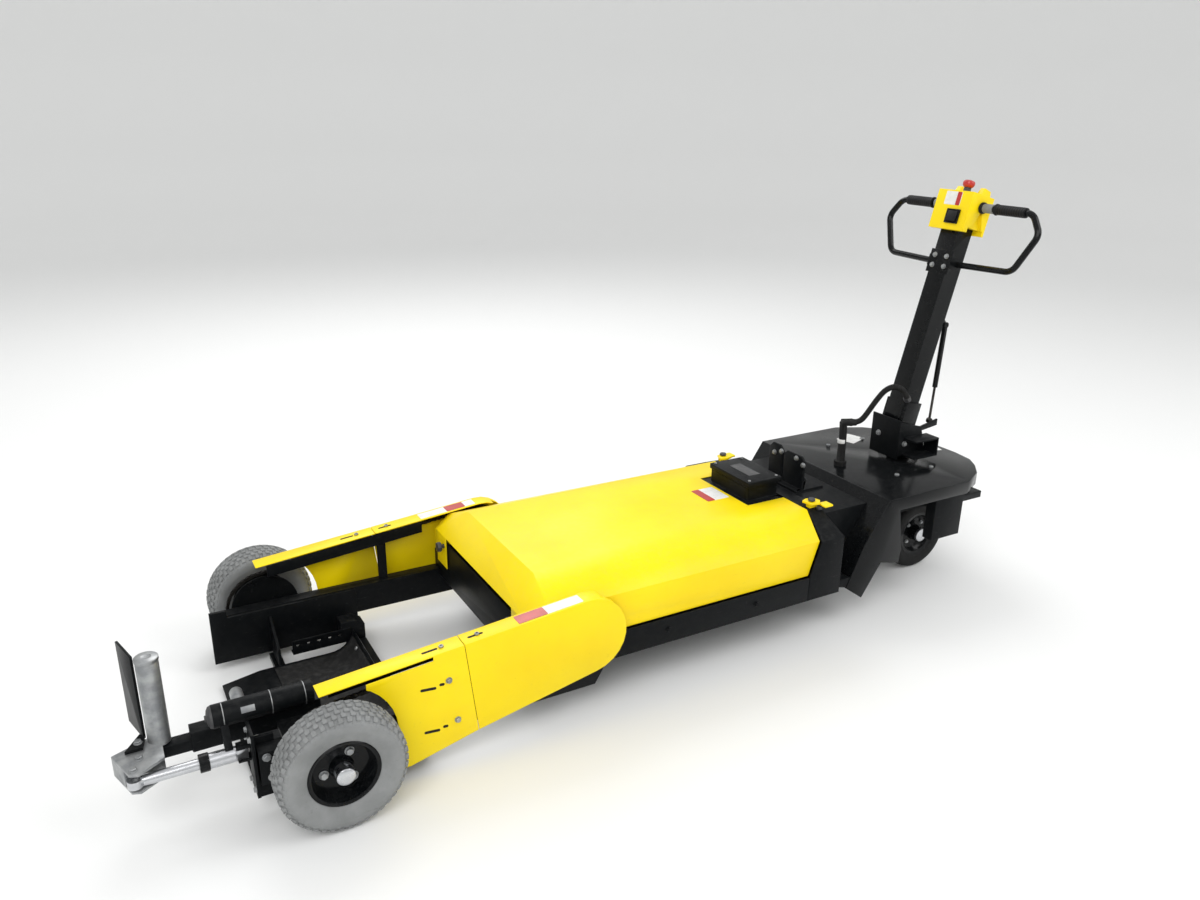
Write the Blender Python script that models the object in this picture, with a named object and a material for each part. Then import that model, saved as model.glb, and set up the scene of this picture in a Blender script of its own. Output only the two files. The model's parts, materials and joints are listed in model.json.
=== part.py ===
"""Walk-behind electric aircraft tug: nose-wheel cradle, two driven front wheels, steered twin rear wheels.

Metres, +Z up, +X towards the tiller. Sizes below are measured from the front axle's centreline on the
floor; the datum empty then puts the origin under the middle of the whole machine.
"""
import bpy
import bmesh
from math import cos, sin, pi, radians, hypot, atan2
from mathutils import Matrix, Vector

# ---------------------------------------------------------------- driving dimensions
GAP = 0.0003                  # between faces that touch
SHEET = 0.003                 # folded sheet metal
FRONT_END = -0.467            # gate head, ahead of the front axle
REAR_END = 2.485              # control head's rear corner

# front wheels, rails and chain drive
TRACK = 0.952                 # between the front tyres' middle planes
FRONT_TYRE_R = 0.156
FRONT_TYRE_W = 0.096
FRONT_RIM_R = 0.0865
AXLE_R = 0.016
RAIL_IN = 0.335               # inner face of a side rail, from the centreline
RAIL_W = 0.041
SIDE_PLATE = 0.008            # thickness of the cradle's side plate, inside the rail
RAIL_Z = (0.090, 0.180)
RAIL_FRONT = -0.166
CHAIN_Y = 0.390               # plane of the chains
CHAIN_W = 0.012
CHAIN_T = 0.012
WHEEL_PITCH_R = 0.112
DRIVE_PITCH_R = 0.088
DRIVE_X = 0.710
DRIVE_Z = 0.262
GUARD_Y = 0.405               # outer face of a chain guard
STRIP_W = 0.055               # width of a guard's top strip
GUARD_JOINT_X = 0.345         # top of the joint between a guard's two sections
GUARD_FRONT_X = -0.022
GUARD_END_R = 0.112
STRIP_Z0 = 0.309              # strip's top face at GUARD_FRONT_X
STRIP_SLOPE = 0.0928
GUIDE = ((0.010, 0.044), (0.500, 0.044), (0.500, 0.008), (0.010, 0.008))   # chain guide: x, drop below the strip

# body
BODY_FRONT = 0.548            # front wall of the pan
HOOD_HALF_TOP = 0.252
HOOD_HALF = 0.370
HOOD_TOP = 0.407
HOOD_FOLD = 0.353
HOOD_BOTTOM = 0.241
HOOD_FRONT_TOP = 0.616
HOOD_REAR_TOP = 1.588
HOOD_REAR_FOLD = 1.544
HOOD_REAR_BOTTOM = 1.508
BODY_REAR = 1.640
PAN_HALF = 0.378
PAN_BOTTOM = 0.155
PAN_WALL = 0.005
NOTCH_X = 1.440               # hood's cut-out for the charger
NOTCH_HALF = 0.135

# rear unit
REAR_TOP = 0.413
REAR_HALF = 0.335
REAR_FRONT = 1.873
LIP = 0.045
STEER_X = 2.250
REAR_WHEEL_R = 0.135
REAR_WHEEL_W = 0.056
REAR_WHEEL_Y = 0.120
COLUMN_R = 0.040
REAR_AXLE_R = 0.012
CABLE_R = 0.0105

# tiller
TILT_X = 2.217
TILT_Z = 0.500
LEAN = radians(14.5)
TUBE = 0.075
TUBE_LEN = 0.760
GRIP_Y = 0.330
HANDLE_TOP = 0.835            # places along the tiller
HANDLE_LOW = 0.632
HANDLE_WIDE = 0.285
BAR_R = 0.011

# gate
GATE_X = -0.379
GATE_Y = -0.238
GATE_Z = 0.168
POST = (-0.362, -0.230)       # the gate's upright roller
EYE = (-0.427, -0.330)
ACTUATOR_PIVOT = (-0.195, -0.330)

SIDES = (("left", 1), ("right", -1))

for item in list(bpy.data.objects):
    bpy.data.objects.remove(item, do_unlink=True)

FINISHES = {
    "yellow": ((0.95, 0.68, 0.01), 0.35, 0.0),
    "black": ((0.012, 0.013, 0.015), 0.45, 0.0),
    "gloss_black": ((0.010, 0.010, 0.012), 0.18, 0.0),
    "tyre_grey": ((0.47, 0.47, 0.46), 0.85, 0.0),
    "rubber": ((0.02, 0.02, 0.02), 0.8, 0.0),
    "steel": ((0.62, 0.63, 0.65), 0.3, 1.0),
    "galvanised": ((0.50, 0.51, 0.52), 0.5, 1.0),
    "grip": ((0.015, 0.015, 0.016), 0.6, 0.0),
    "red": ((0.55, 0.02, 0.02), 0.35, 0.0),
    "chain_steel": ((0.05, 0.05, 0.05), 0.4, 0.8),
    "battery_grey": ((0.10, 0.10, 0.11), 0.6, 0.0),
}


def make_material(name):
    colour, roughness, metallic = FINISHES[name]
    material = bpy.data.materials.new(name)
    material.use_nodes = True
    shader = material.node_tree.nodes["Principled BSDF"]
    shader.inputs["Base Color"].default_value = (*colour, 1)
    shader.inputs["Roughness"].default_value = roughness
    shader.inputs["Metallic"].default_value = metallic
    return material


MATERIALS = {name: make_material(name) for name in FINISHES}


# ---------------------------------------------------------------- frame of reference
def empty(name, place=(0, 0, 0), parent=None):
    """An empty at a place measured from the front axle; a child's location is relative to its parent's."""
    marker = bpy.data.objects.new(name, None)
    bpy.context.scene.collection.objects.link(marker)
    marker["place"] = place
    base = parent["place"] if parent else (0, 0, 0)
    marker.location = Vector(place) - Vector(base)
    marker.parent = parent
    return marker


datum = empty("datum")
datum.location = (-(FRONT_END + REAR_END) / 2, 0, 0)
steer_axis = empty("steer_axis", (STEER_X, 0, 0), datum)
tilt_axis = empty("tilt_axis", (TILT_X, 0, TILT_Z), steer_axis)
gate_axis = empty("gate_axis", (GATE_X, GATE_Y, GATE_Z), datum)
actuator_axis = empty("actuator_axis", (*ACTUATOR_PIVOT, GATE_Z), datum)
rear_wheel_axis = empty("rear_wheel_axis", (STEER_X, 0, REAR_WHEEL_R), steer_axis)
front_axles = {side: empty(f"front_axle_{side}", (0, s * TRACK / 2, FRONT_TYRE_R), datum) for side, s in SIDES}


def tiller_point(forward, y, along):
    """A point in the leaning tiller's own directions: forward of its centreline, and along it."""
    return Vector((TILT_X + forward * cos(LEAN) + along * sin(LEAN), y,
                   TILT_Z - forward * sin(LEAN) + along * cos(LEAN)))


TILLER = Matrix.Translation((TILT_X, 0, TILT_Z)) @ Matrix.Rotation(LEAN, 4, "Y")


# ---------------------------------------------------------------- shapes
def box(x, y, z):
    mesh = bmesh.new()
    bmesh.ops.create_cube(mesh, size=1)
    size = (abs(x[1] - x[0]), abs(y[1] - y[0]), abs(z[1] - z[0]))
    centre = ((x[0] + x[1]) / 2, (y[0] + y[1]) / 2, (z[0] + z[1]) / 2)
    bmesh.ops.transform(mesh, matrix=Matrix.Translation(centre) @ Matrix.Diagonal((*size, 1)), verts=mesh.verts)
    return mesh


def prism(outline, axis, low, high):
    """A flat outline pushed along an axis: its points are (y, z) for X, (x, z) for Y and (x, y) for Z."""
    place = {"X": lambda a, b: (low, a, b), "Y": lambda a, b: (a, low, b), "Z": lambda a, b: (a, b, low)}[axis]
    mesh = bmesh.new()
    face = mesh.faces.new([mesh.verts.new(place(a, b)) for a, b in outline])
    pushed = bmesh.ops.extrude_face_region(mesh, geom=[face])
    step = Vector([(high - low) * (axis == name) for name in "XYZ"])
    bmesh.ops.translate(mesh, vec=step, verts=[v for v in pushed["geom"] if isinstance(v, bmesh.types.BMVert)])
    bmesh.ops.recalc_face_normals(mesh, faces=mesh.faces)
    return mesh


def rod(start, end, radius, sides=20, end_radius=None):
    start, end = Vector(start), Vector(end)
    mesh = bmesh.new()
    length = (end - start).length
    bmesh.ops.create_cone(mesh, cap_ends=True, segments=sides, radius1=radius,
                          radius2=radius if end_radius is None else end_radius, depth=length)
    turn = (end - start).to_track_quat("Z", "Y").to_matrix().to_4x4()
    bmesh.ops.transform(mesh, matrix=Matrix.Translation((start + end) / 2) @ turn, verts=mesh.verts)
    return mesh


def turned_y(profile, centre, sides=40):
    """A closed profile of (radius, y) points spun about a line along Y through centre (x, z)."""
    mesh = bmesh.new()
    points = [mesh.verts.new((centre[0] + r, y, centre[1])) for r, y in profile]
    edges = [mesh.edges.new((a, b)) for a, b in zip(points, points[1:] + points[:1])]
    bmesh.ops.spin(mesh, geom=points + edges, cent=(centre[0], 0, centre[1]), axis=(0, 1, 0),
                   angle=2 * pi, steps=sides, use_merge=True, use_duplicate=False)
    bmesh.ops.remove_doubles(mesh, verts=mesh.verts, dist=1e-5)
    bmesh.ops.recalc_face_normals(mesh, faces=mesh.faces)
    return mesh


def skin(points, faces):
    """An open surface from named points, its faces turned outwards, to be given a thickness."""
    mesh = bmesh.new()
    verts = {name: mesh.verts.new(place) for name, place in points.items()}
    for names in faces:
        mesh.faces.new([verts[name] for name in names])
    bmesh.ops.recalc_face_normals(mesh, faces=mesh.faces)
    middle = sum((v.co for v in mesh.verts), Vector()) / len(mesh.verts)
    outward = sum((f.calc_center_median() - middle).dot(f.normal) * f.calc_area() for f in mesh.faces)
    if outward < 0:
        bmesh.ops.reverse_faces(mesh, faces=mesh.faces)
    return mesh


def arc(centre, radius, start, end, steps):
    """Points of an arc in degrees, both ends included."""
    turns = [radians(start + (end - start) * i / steps) for i in range(steps + 1)]
    return [(centre[0] + radius * cos(t), centre[1] + radius * sin(t)) for t in turns]


def mirrored(outline, side):
    return [(x, side * y) for x, y in outline]


# ---------------------------------------------------------------- objects
def new_object(name, mesh, finish=None, group=datum, smooth=True):
    """Put a mesh, drawn in machine coordinates, on an object whose origin is its group's empty."""
    place = Vector(group["place"])
    bmesh.ops.translate(mesh, vec=-place, verts=mesh.verts)
    data = bpy.data.meshes.new(name)
    mesh.to_mesh(data)
    mesh.free()
    thing = bpy.data.objects.new(name, data)
    bpy.context.scene.collection.objects.link(thing)
    thing.parent = group
    if finish:
        data.materials.append(MATERIALS[finish])
    if smooth:
        data.shade_smooth()
        data.set_sharp_from_angle(angle=radians(35))
    return thing


def boolean(thing, meshes, operation, group):
    """Add or cut hidden helper shapes, each an object of its own."""
    for number, mesh in enumerate(meshes):
        helper = new_object(f"{thing.name}_{operation.lower()}_{number}", mesh, group=group)
        helper.hide_render = True
        helper.display_type = "WIRE"
        helper.hide_viewport = False
        modifier = thing.modifiers.new(helper.name, "BOOLEAN")
        modifier.operation = operation
        modifier.solver = "EXACT"
        modifier.object = helper


def solid(name, mesh, finish, group=datum, add=(), cut=()):
    thing = new_object(name, mesh, finish, group)
    boolean(thing, add, "UNION", group)
    boolean(thing, cut, "DIFFERENCE", group)
    return thing


def folded(name, mesh, finish, group=datum, thickness=SHEET, cut=()):
    """Sheet metal: an outer skin given its thickness inwards."""
    thing = new_object(name, mesh, finish, group, smooth=False)
    wall = thing.modifiers.new("thickness", "SOLIDIFY")
    wall.thickness = thickness
    wall.offset = -1
    wall.use_even_offset = True
    boolean(thing, cut, "DIFFERENCE", group)
    return thing


def bent_tube(name, points, radius, finish, group=datum, resolution=3, closed=False):
    """A round bar or cable along a smooth list of points."""
    place = Vector(group["place"])
    curve = bpy.data.curves.new(name, "CURVE")
    curve.dimensions = "3D"
    line = curve.splines.new("POLY")
    line.points.add(len(points) - 1)
    for target, point in zip(line.points, points):
        target.co = (*(Vector(point) - place), 1)
    line.use_cyclic_u = closed
    curve.bevel_depth = radius
    curve.bevel_resolution = resolution
    curve.use_fill_caps = True
    thing = bpy.data.objects.new(name, curve)
    bpy.context.scene.collection.objects.link(thing)
    thing.parent = group
    curve.materials.append(MATERIALS[finish])
    return thing


def rounded_path(corners, radii, steps=6):
    """Points along straight runs whose corners are rounded with arcs."""
    points = [Vector(corners[0])]
    for before, corner, after, radius in zip(corners, corners[1:], corners[2:], radii):
        corner = Vector(corner)
        into = (corner - Vector(before)).normalized()
        away = (Vector(after) - corner).normalized()
        bend = into.angle(away)
        reach = radius * sin(bend / 2) / cos(bend / 2)
        start = corner - into * reach
        centre = start + (away - into * into.dot(away)).normalized() * radius
        axis = into.cross(away).normalized()
        points += [centre + Matrix.Rotation(bend * i / steps, 3, axis) @ (start - centre) for i in range(steps + 1)]
    return points + [Vector(corners[-1])]


def smooth_line(route, spacing):
    """Points at an even spacing along a smooth curve through the route's own points."""
    route = [Vector(p) for p in route]
    ends = [route[0] * 2 - route[1]] + route + [route[-1] * 2 - route[-2]]
    fine = []
    for a, b, c, d in zip(ends, ends[1:], ends[2:], ends[3:]):
        for i in range(24):
            t = i / 24
            fine.append(((b * 2) + (c - a) * t + (a * 2 - b * 5 + c * 4 - d) * t ** 2
                         + (b * 3 - a - c * 3 + d) * t ** 3) / 2)
    fine.append(route[-1])
    lengths = [0]
    for a, b in zip(fine, fine[1:]):
        lengths.append(lengths[-1] + (b - a).length)
    count = max(2, round(lengths[-1] / spacing))
    points = []
    for i in range(count + 1):
        want = lengths[-1] * i / count
        j = next(k for k in range(1, len(lengths)) if lengths[k] >= want - 1e-9)
        share = (want - lengths[j - 1]) / (lengths[j] - lengths[j - 1])
        points.append(fine[j - 1].lerp(fine[j], share))
    return points


# ---------------------------------------------------------------- frame and cradle
def rails():
    for side, s in SIDES:
        outline = [(RAIL_FRONT, RAIL_Z[0]), (0.74, RAIL_Z[0]), (0.78, PAN_BOTTOM - GAP),
                   (BODY_FRONT - GAP, PAN_BOTTOM - GAP), (BODY_FRONT - GAP, RAIL_Z[1]), (RAIL_FRONT, RAIL_Z[1])]
        plate = [(-0.170, 0.030), (0.240, 0.030), (0.265, 0.055), (0.265, 0.176), (-0.122, 0.176),
                 (-0.122, 0.200), (-0.170, 0.200)]
        side_plate = prism(plate, "Y", s * (RAIL_IN - SIDE_PLATE), s * (RAIL_IN + 0.002))
        stub = rod((0, s * (RAIL_IN + 0.010), FRONT_TYRE_R), (0, s * (TRACK / 2 + 0.036), FRONT_TYRE_R),
                   AXLE_R - GAP, 24)
        stay = [(0.349, RAIL_Z[1] - 0.010), (0.377, RAIL_Z[1] - 0.010), (0.377, strip_z(0.377) - SHEET - 0.0006),
                (0.349, strip_z(0.349) - SHEET - 0.0006)]
        guard_stay = prism(stay, "Y", s * 0.353, s * 0.361)
        guide = prism([(x, strip_z(x) - drop) for x, drop in GUIDE], "Y", s * 0.352, s * 0.358)
        solid(f"frame_rail_{side}", prism(outline, "Y", s * RAIL_IN, s * (RAIL_IN + RAIL_W)), "black",
              add=[side_plate, stub, guard_stay, guide])


def cradle():
    half = RAIL_IN - SIDE_PLATE - GAP
    surface = [(-0.168, 0.012), (-0.060, 0.030), (0.150, 0.030)] + arc((0.150, 0.105), 0.075, -80, -10, 6)
    under = [(x + 0.004, z - 0.006) for x, z in surface[::-1][:7]] + [(0.150, 0.024), (-0.060, 0.024),
                                                                     (-0.168, 0.006)]
    roller_feet = [box((-0.154, -0.138), (s * 0.06, s * 0.08), (0.010, 0.0287)) for s in (1, -1)]
    bars = [box((-0.015, 0.015), (-half, half), (0.008, 0.026)), box((0.206, 0.262), (-half, half), (0.032, 0.052))]
    gussets = []
    for side, s in SIDES:
        gusset = [(s * half, 0.0200), (s * 0.2300, 0.0200), (s * 0.2300, 0.085), (s * half, 0.150)]
        gussets.append(prism(gusset, "X", -0.004, 0.004))
    solid("cradle_tray", prism(surface + under, "Y", -0.235, 0.235), "black", add=roller_feet + bars + gussets)
    pad = [(-0.020, 0.0303), (0.150, 0.0303)] + arc((0.150, 0.105), 0.0744, -80, -10, 6)[:6]
    pad += arc((0.150, 0.105), 0.0684, -80, -10, 6)[5::-1] + [(0.150, 0.0363), (-0.020, 0.0363)]
    solid("cradle_pad", prism(pad, "Y", -0.215, 0.215), "rubber")
    solid("cradle_roller", rod((-0.146, -0.126, 0.047), (-0.146, 0.126, 0.047), 0.018, 24), "galvanised")
    for side, s in SIDES:
        rack = box((0.040, 0.2157), (s * 0.2353, s * 0.2403), (0.0525, 0.098))
        holes = [rod((0.056 + 0.032 * i, s * 0.225, 0.082), (0.056 + 0.032 * i, s * 0.255, 0.082), 0.005, 12)
                 for i in range(5)]
        flange = box((0.040, 0.200), (s * 0.2390, s * 0.2620), (0.0525, 0.0575))
        stop = [(0.190, 0.0525), (0.262, 0.0525), (0.262, 0.100), (0.235, 0.118), (0.190, 0.118)]
        block = prism(stop, "Y", s * 0.238, s * 0.290)
        solid(f"chock_rack_{side}", rack, "black", add=[flange, block], cut=holes)


# ---------------------------------------------------------------- front wheels and chain drive
def front_wheels():
    middle = TRACK / 2
    for side, s in SIDES:
        group = front_axles[side]
        half = FRONT_TYRE_W / 2
        rise = FRONT_TYRE_R - FRONT_RIM_R
        shape = [(0, 0.72), (0.22, 0.86), (0.50, 1.0), (0.72, 0.98), (0.88, 0.86), (0.965, 0.66), (0.992, 0.35),
                 (1.0, 0)]
        outer = [(FRONT_RIM_R + rise * a, half * b) for a, b in shape]
        profile = outer + [(r, -y) for r, y in outer[-2::-1]]
        tyre = turned_y([(r, s * middle + y) for r, y in profile], (0, FRONT_TYRE_R), 48)
        solid(f"front_tyre_{side}", tyre, "tyre_grey", group)
        out = s * half * 0.70
        plate_in = -s * (middle - CHAIN_Y + 0.004)
        plate_out = -s * (middle - CHAIN_Y - 0.004)
        tip = WHEEL_PITCH_R - CHAIN_T / 2 - 0.006
        cap_in, cap_out = s * 0.0363, s * 0.0500
        rim = [(FRONT_RIM_R - GAP, out), (FRONT_RIM_R - GAP, -out), (0.078, -out), (0.074, -out * 0.6),
               (0.070, -s * 0.004), (0.034, -s * 0.004), (0.030, plate_out), (tip, plate_out), (tip, plate_in),
               (AXLE_R, plate_in), (AXLE_R, cap_in), (0.0003, cap_in), (0.0003, cap_out), (0.016, cap_out),
               (0.020, cap_out - s * 0.004), (0.022, s * 0.018), (0.030, s * 0.003), (0.066, s * 0.003),
               (0.074, out * 0.6), (0.080, out)]
        solid(f"front_rim_{side}", turned_y([(r, s * middle + y) for r, y in rim], (0, FRONT_TYRE_R), 40),
              "gloss_black", group)


def belt_outline(offset, steps=14):
    """The chain's line round both sprockets, offset outwards."""
    gap_x, gap_z = DRIVE_X, DRIVE_Z - FRONT_TYRE_R
    span = hypot(gap_x, gap_z)
    tilt = atan2(gap_z, gap_x)
    spread = atan2(WHEEL_PITCH_R - DRIVE_PITCH_R, span)
    start = tilt + pi / 2 - spread
    end = tilt - pi / 2 + spread
    points = []
    for i in range(steps + 1):
        turn = start + (2 * pi - (start - end)) * i / steps
        points.append(((WHEEL_PITCH_R + offset) * cos(turn), FRONT_TYRE_R + (WHEEL_PITCH_R + offset) * sin(turn)))
    for i in range(steps + 1):
        turn = end + (start - end) * i / steps
        points.append((DRIVE_X + (DRIVE_PITCH_R + offset) * cos(turn),
                       DRIVE_Z + (DRIVE_PITCH_R + offset) * sin(turn)))
    return points


def chain_loop(s):
    mesh = bmesh.new()
    outer = belt_outline(CHAIN_T / 2)
    inner = belt_outline(-CHAIN_T / 2)
    rings = [[mesh.verts.new((x, s * (CHAIN_Y + side * CHAIN_W / 2), z)) for x, z in outline]
             for outline, side in ((outer, -1), (outer, 1), (inner, 1), (inner, -1))]
    count = len(outer)
    for ring, following in zip(rings, rings[1:] + rings[:1]):
        for i in range(count):
            j = (i + 1) % count
            mesh.faces.new((ring[i], ring[j], following[j], following[i]))
    bmesh.ops.recalc_face_normals(mesh, faces=mesh.faces)
    return mesh


def chain_drive():
    tip = DRIVE_PITCH_R - CHAIN_T / 2 - 0.002
    half = [(0.0003, CHAIN_Y + 0.004), (tip, CHAIN_Y + 0.004), (tip, CHAIN_Y - 0.004), (0.0125, CHAIN_Y - 0.004),
            (0.0125, 0.300), (0.072, 0.300)]
    shaft = half + [(r, -y) for r, y in half[::-1]]
    solid("drive_transaxle", turned_y(shaft, (DRIVE_X, DRIVE_Z), 32), "battery_grey")
    for side, s in SIDES:
        solid(f"drive_chain_{side}", chain_loop(s), "chain_steel")


def strip_z(x):
    return STRIP_Z0 + (x - GUARD_FRONT_X) * STRIP_SLOPE


def guard_skin(strip_line, panel, s):
    """Top strip over strip_line and an outer panel with the given outline, folded along what they share."""
    outer, inner = s * GUARD_Y, s * (GUARD_Y - STRIP_W)
    points = {}
    for i, (x, z) in enumerate(strip_line):
        points[f"out{i}"] = (x, outer, z)
        points[f"in{i}"] = (x, inner, z)
    faces = [(f"out{i}", f"out{i + 1}", f"in{i + 1}", f"in{i}") for i in range(len(strip_line) - 1)]
    names = []
    for i, place in enumerate(panel):
        if isinstance(place, int):
            names.append(f"out{place}")
        else:
            points[f"panel{i}"] = (place[0], outer, place[1])
            names.append(f"panel{i}")
    faces.append(tuple(names))
    return points, faces


def guard_surface(points, faces, s):
    mesh = skin(points, faces)
    strip = next(f for f in mesh.faces if abs(f.normal.z) > 0.9)
    if strip.normal.z < 0:
        bmesh.ops.reverse_faces(mesh, faces=mesh.faces)
    return mesh


def chain_guards():
    joint_low = (0.376, 0.081)
    for side, s in SIDES:
        slot_end = 0.262
        joint_x = GUARD_JOINT_X
        line = [(GUARD_FRONT_X, strip_z(GUARD_FRONT_X)), (slot_end, strip_z(slot_end)), (joint_x, strip_z(joint_x))]
        edge = arc((0, FRONT_TYRE_R), 0.164, 52, -48, 10)
        panel = [1, 2, joint_low] + [(0.190, 0.035)] + edge[::-1][0:] + [(0.091, 0.290), (0.091, 0.306),
                                                                         (slot_end, strip_z(slot_end) - 0.014)]
        points, faces = guard_skin(line, panel, s)
        folded(f"chain_guard_front_{side}", guard_surface(points, faces, s), "yellow")
        start_x = joint_x + 0.0015
        low_x = joint_low[0] + 0.0015
        ending = arc((DRIVE_X, DRIVE_Z), GUARD_END_R, 95, -80, 12)
        lift = strip_z(DRIVE_X) - DRIVE_Z - GUARD_END_R
        ending = [(x, z + lift * max(0, (z - DRIVE_Z) / GUARD_END_R)) for x, z in ending]
        line = [(start_x, strip_z(start_x))] + ending
        panel = list(range(len(line))) + [(low_x, joint_low[1])]
        points, faces = guard_skin(line, panel, s)
        cut = box((DRIVE_X, 1.0), (s * 0.300, s * (PAN_HALF + 0.006)), (0.0, 0.368))
        folded(f"chain_guard_rear_{side}", guard_surface(points, faces, s), "yellow", cut=[cut])


# ---------------------------------------------------------------- body
def hood_edge_x(z):
    """The slanted rear edge of the hood at a height."""
    if z > HOOD_FOLD:
        return HOOD_REAR_FOLD + (HOOD_REAR_TOP - HOOD_REAR_FOLD) * (z - HOOD_FOLD) / (HOOD_TOP - HOOD_FOLD)
    return HOOD_REAR_BOTTOM + (HOOD_REAR_FOLD - HOOD_REAR_BOTTOM) * (z - HOOD_BOTTOM) / (HOOD_FOLD - HOOD_BOTTOM)


def hood():
    slope_low = 0.542
    corner = (slope_low, 0.345, 0.322)
    tab_in, tab_out, tab_low = 0.250, 0.333, 0.215
    half_front = 0.240
    points, faces = {}, []
    for tag, s in (("l", 1), ("r", -1)):
        points.update({
            f"top_front_{tag}": (HOOD_FRONT_TOP, s * half_front, HOOD_TOP),
            f"top_notch_{tag}": (NOTCH_X, s * NOTCH_HALF, HOOD_TOP),
            f"rear_notch_{tag}": (HOOD_REAR_TOP, s * NOTCH_HALF, HOOD_TOP),
            f"top_rear_{tag}": (HOOD_REAR_TOP, s * HOOD_HALF_TOP, HOOD_TOP),
            f"fold_front_{tag}": (0.600, s * HOOD_HALF, HOOD_FOLD),
            f"fold_rear_{tag}": (HOOD_REAR_FOLD, s * HOOD_HALF, HOOD_FOLD),
            f"low_front_{tag}": (0.600, s * HOOD_HALF, HOOD_BOTTOM),
            f"low_rear_{tag}": (HOOD_REAR_BOTTOM, s * HOOD_HALF, HOOD_BOTTOM),
            f"corner_{tag}": (corner[0], s * corner[1], corner[2]),
            f"corner_low_{tag}": (corner[0], s * corner[1], HOOD_BOTTOM),
            f"tab_out_{tag}": (slope_low, s * tab_out, corner[2]),
            f"tab_in_{tag}": (slope_low, s * tab_in, corner[2]),
            f"tab_out_low_{tag}": (slope_low, s * tab_out, tab_low),
            f"tab_in_low_{tag}": (slope_low, s * tab_in, tab_low),
        })
        faces += [
            (f"top_front_{tag}", f"top_rear_{tag}", f"fold_rear_{tag}", f"fold_front_{tag}"),
            (f"fold_front_{tag}", f"fold_rear_{tag}", f"low_rear_{tag}", f"low_front_{tag}"),
            (f"top_front_{tag}", f"fold_front_{tag}", f"corner_{tag}"),
            (f"fold_front_{tag}", f"low_front_{tag}", f"corner_low_{tag}", f"corner_{tag}"),
            (f"tab_in_{tag}", f"tab_out_{tag}", f"tab_out_low_{tag}", f"tab_in_low_{tag}"),
        ]
    faces.append(("top_front_l", "top_rear_l", "rear_notch_l", "top_notch_l",
                  "top_notch_r", "rear_notch_r", "top_rear_r", "top_front_r"))
    faces.append(("top_front_l", "top_front_r", "corner_r", "tab_out_r", "tab_in_r",
                  "tab_in_l", "tab_out_l", "corner_l"))
    shaft = rod((DRIVE_X, -0.5, DRIVE_Z), (DRIVE_X, 0.5, DRIVE_Z), 0.022, 16)
    slot = box((DRIVE_X - 0.022, DRIVE_X + 0.022), (-0.5, 0.5), (0.200, DRIVE_Z))
    folded("battery_hood", skin(points, faces), "yellow", cut=[shaft, slot])


def pan():
    wall_top = 0.300
    step = 0.330
    side_top = HOOD_BOTTOM - 0.004
    rear = HOOD_REAR_BOTTOM + 0.0
    points, faces = {}, []
    for tag, s in (("l", 1), ("r", -1)):
        points.update({
            f"a_{tag}": (BODY_FRONT, s * PAN_HALF, PAN_BOTTOM),
            f"b_{tag}": (BODY_FRONT, s * PAN_HALF, side_top),
            f"c_{tag}": (BODY_FRONT, s * step, side_top),
            f"d_{tag}": (BODY_FRONT, s * step, wall_top),
            f"e_{tag}": (rear, s * PAN_HALF, PAN_BOTTOM),
            f"f_{tag}": (rear, s * PAN_HALF, side_top),
        })
        faces.append((f"a_{tag}", f"b_{tag}", f"f_{tag}", f"e_{tag}"))
    faces.append(("a_l", "b_l", "c_l", "d_l", "d_r", "c_r", "b_r", "a_r"))
    faces.append(("a_l", "e_l", "e_r", "a_r"))
    mesh = skin(points, faces)
    bottom = next(f for f in mesh.faces if abs(f.normal.z) > 0.9)
    if bottom.normal.z > 0:
        bmesh.ops.reverse_faces(mesh, faces=mesh.faces)
    folded("chassis_pan", mesh, "black", thickness=PAN_WALL)
    solid("battery_pack", box((0.86, 1.42), (-0.30, 0.30), (PAN_BOTTOM + PAN_WALL + GAP, 0.365)), "battery_grey")


def rear_section():
    """The black end of the body behind the hood, of the same cross-section, closed at the back."""
    gap = 0.003
    low = PAN_BOTTOM
    points, faces = {}, []
    start = HOOD_REAR_BOTTOM + GAP
    for tag, s in (("l", 1), ("r", -1)):
        points.update({
            f"top_{tag}": (HOOD_REAR_TOP + gap, s * HOOD_HALF_TOP, HOOD_TOP),
            f"fold_{tag}": (HOOD_REAR_FOLD + gap, s * PAN_HALF, HOOD_FOLD),
            f"edge_{tag}": (HOOD_REAR_BOTTOM + gap, s * PAN_HALF, HOOD_BOTTOM),
            f"low_{tag}": (start, s * PAN_HALF, low),
            f"top_back_{tag}": (BODY_REAR, s * HOOD_HALF_TOP, HOOD_TOP),
            f"fold_back_{tag}": (BODY_REAR, s * PAN_HALF, HOOD_FOLD),
            f"low_back_{tag}": (BODY_REAR, s * PAN_HALF, low),
        })
        faces += [
            (f"top_{tag}", f"top_back_{tag}", f"fold_back_{tag}", f"fold_{tag}"),
            (f"fold_{tag}", f"fold_back_{tag}", f"low_back_{tag}", f"low_{tag}", f"edge_{tag}"),
        ]
    faces += [("top_l", "top_back_l", "top_back_r", "top_r"),
              ("low_l", "low_back_l", "low_back_r", "low_r"),
              ("top_back_l", "fold_back_l", "low_back_l", "low_back_r", "fold_back_r", "top_back_r")]
    folded("rear_bulkhead", skin(points, faces), "black", thickness=0.005)


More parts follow.
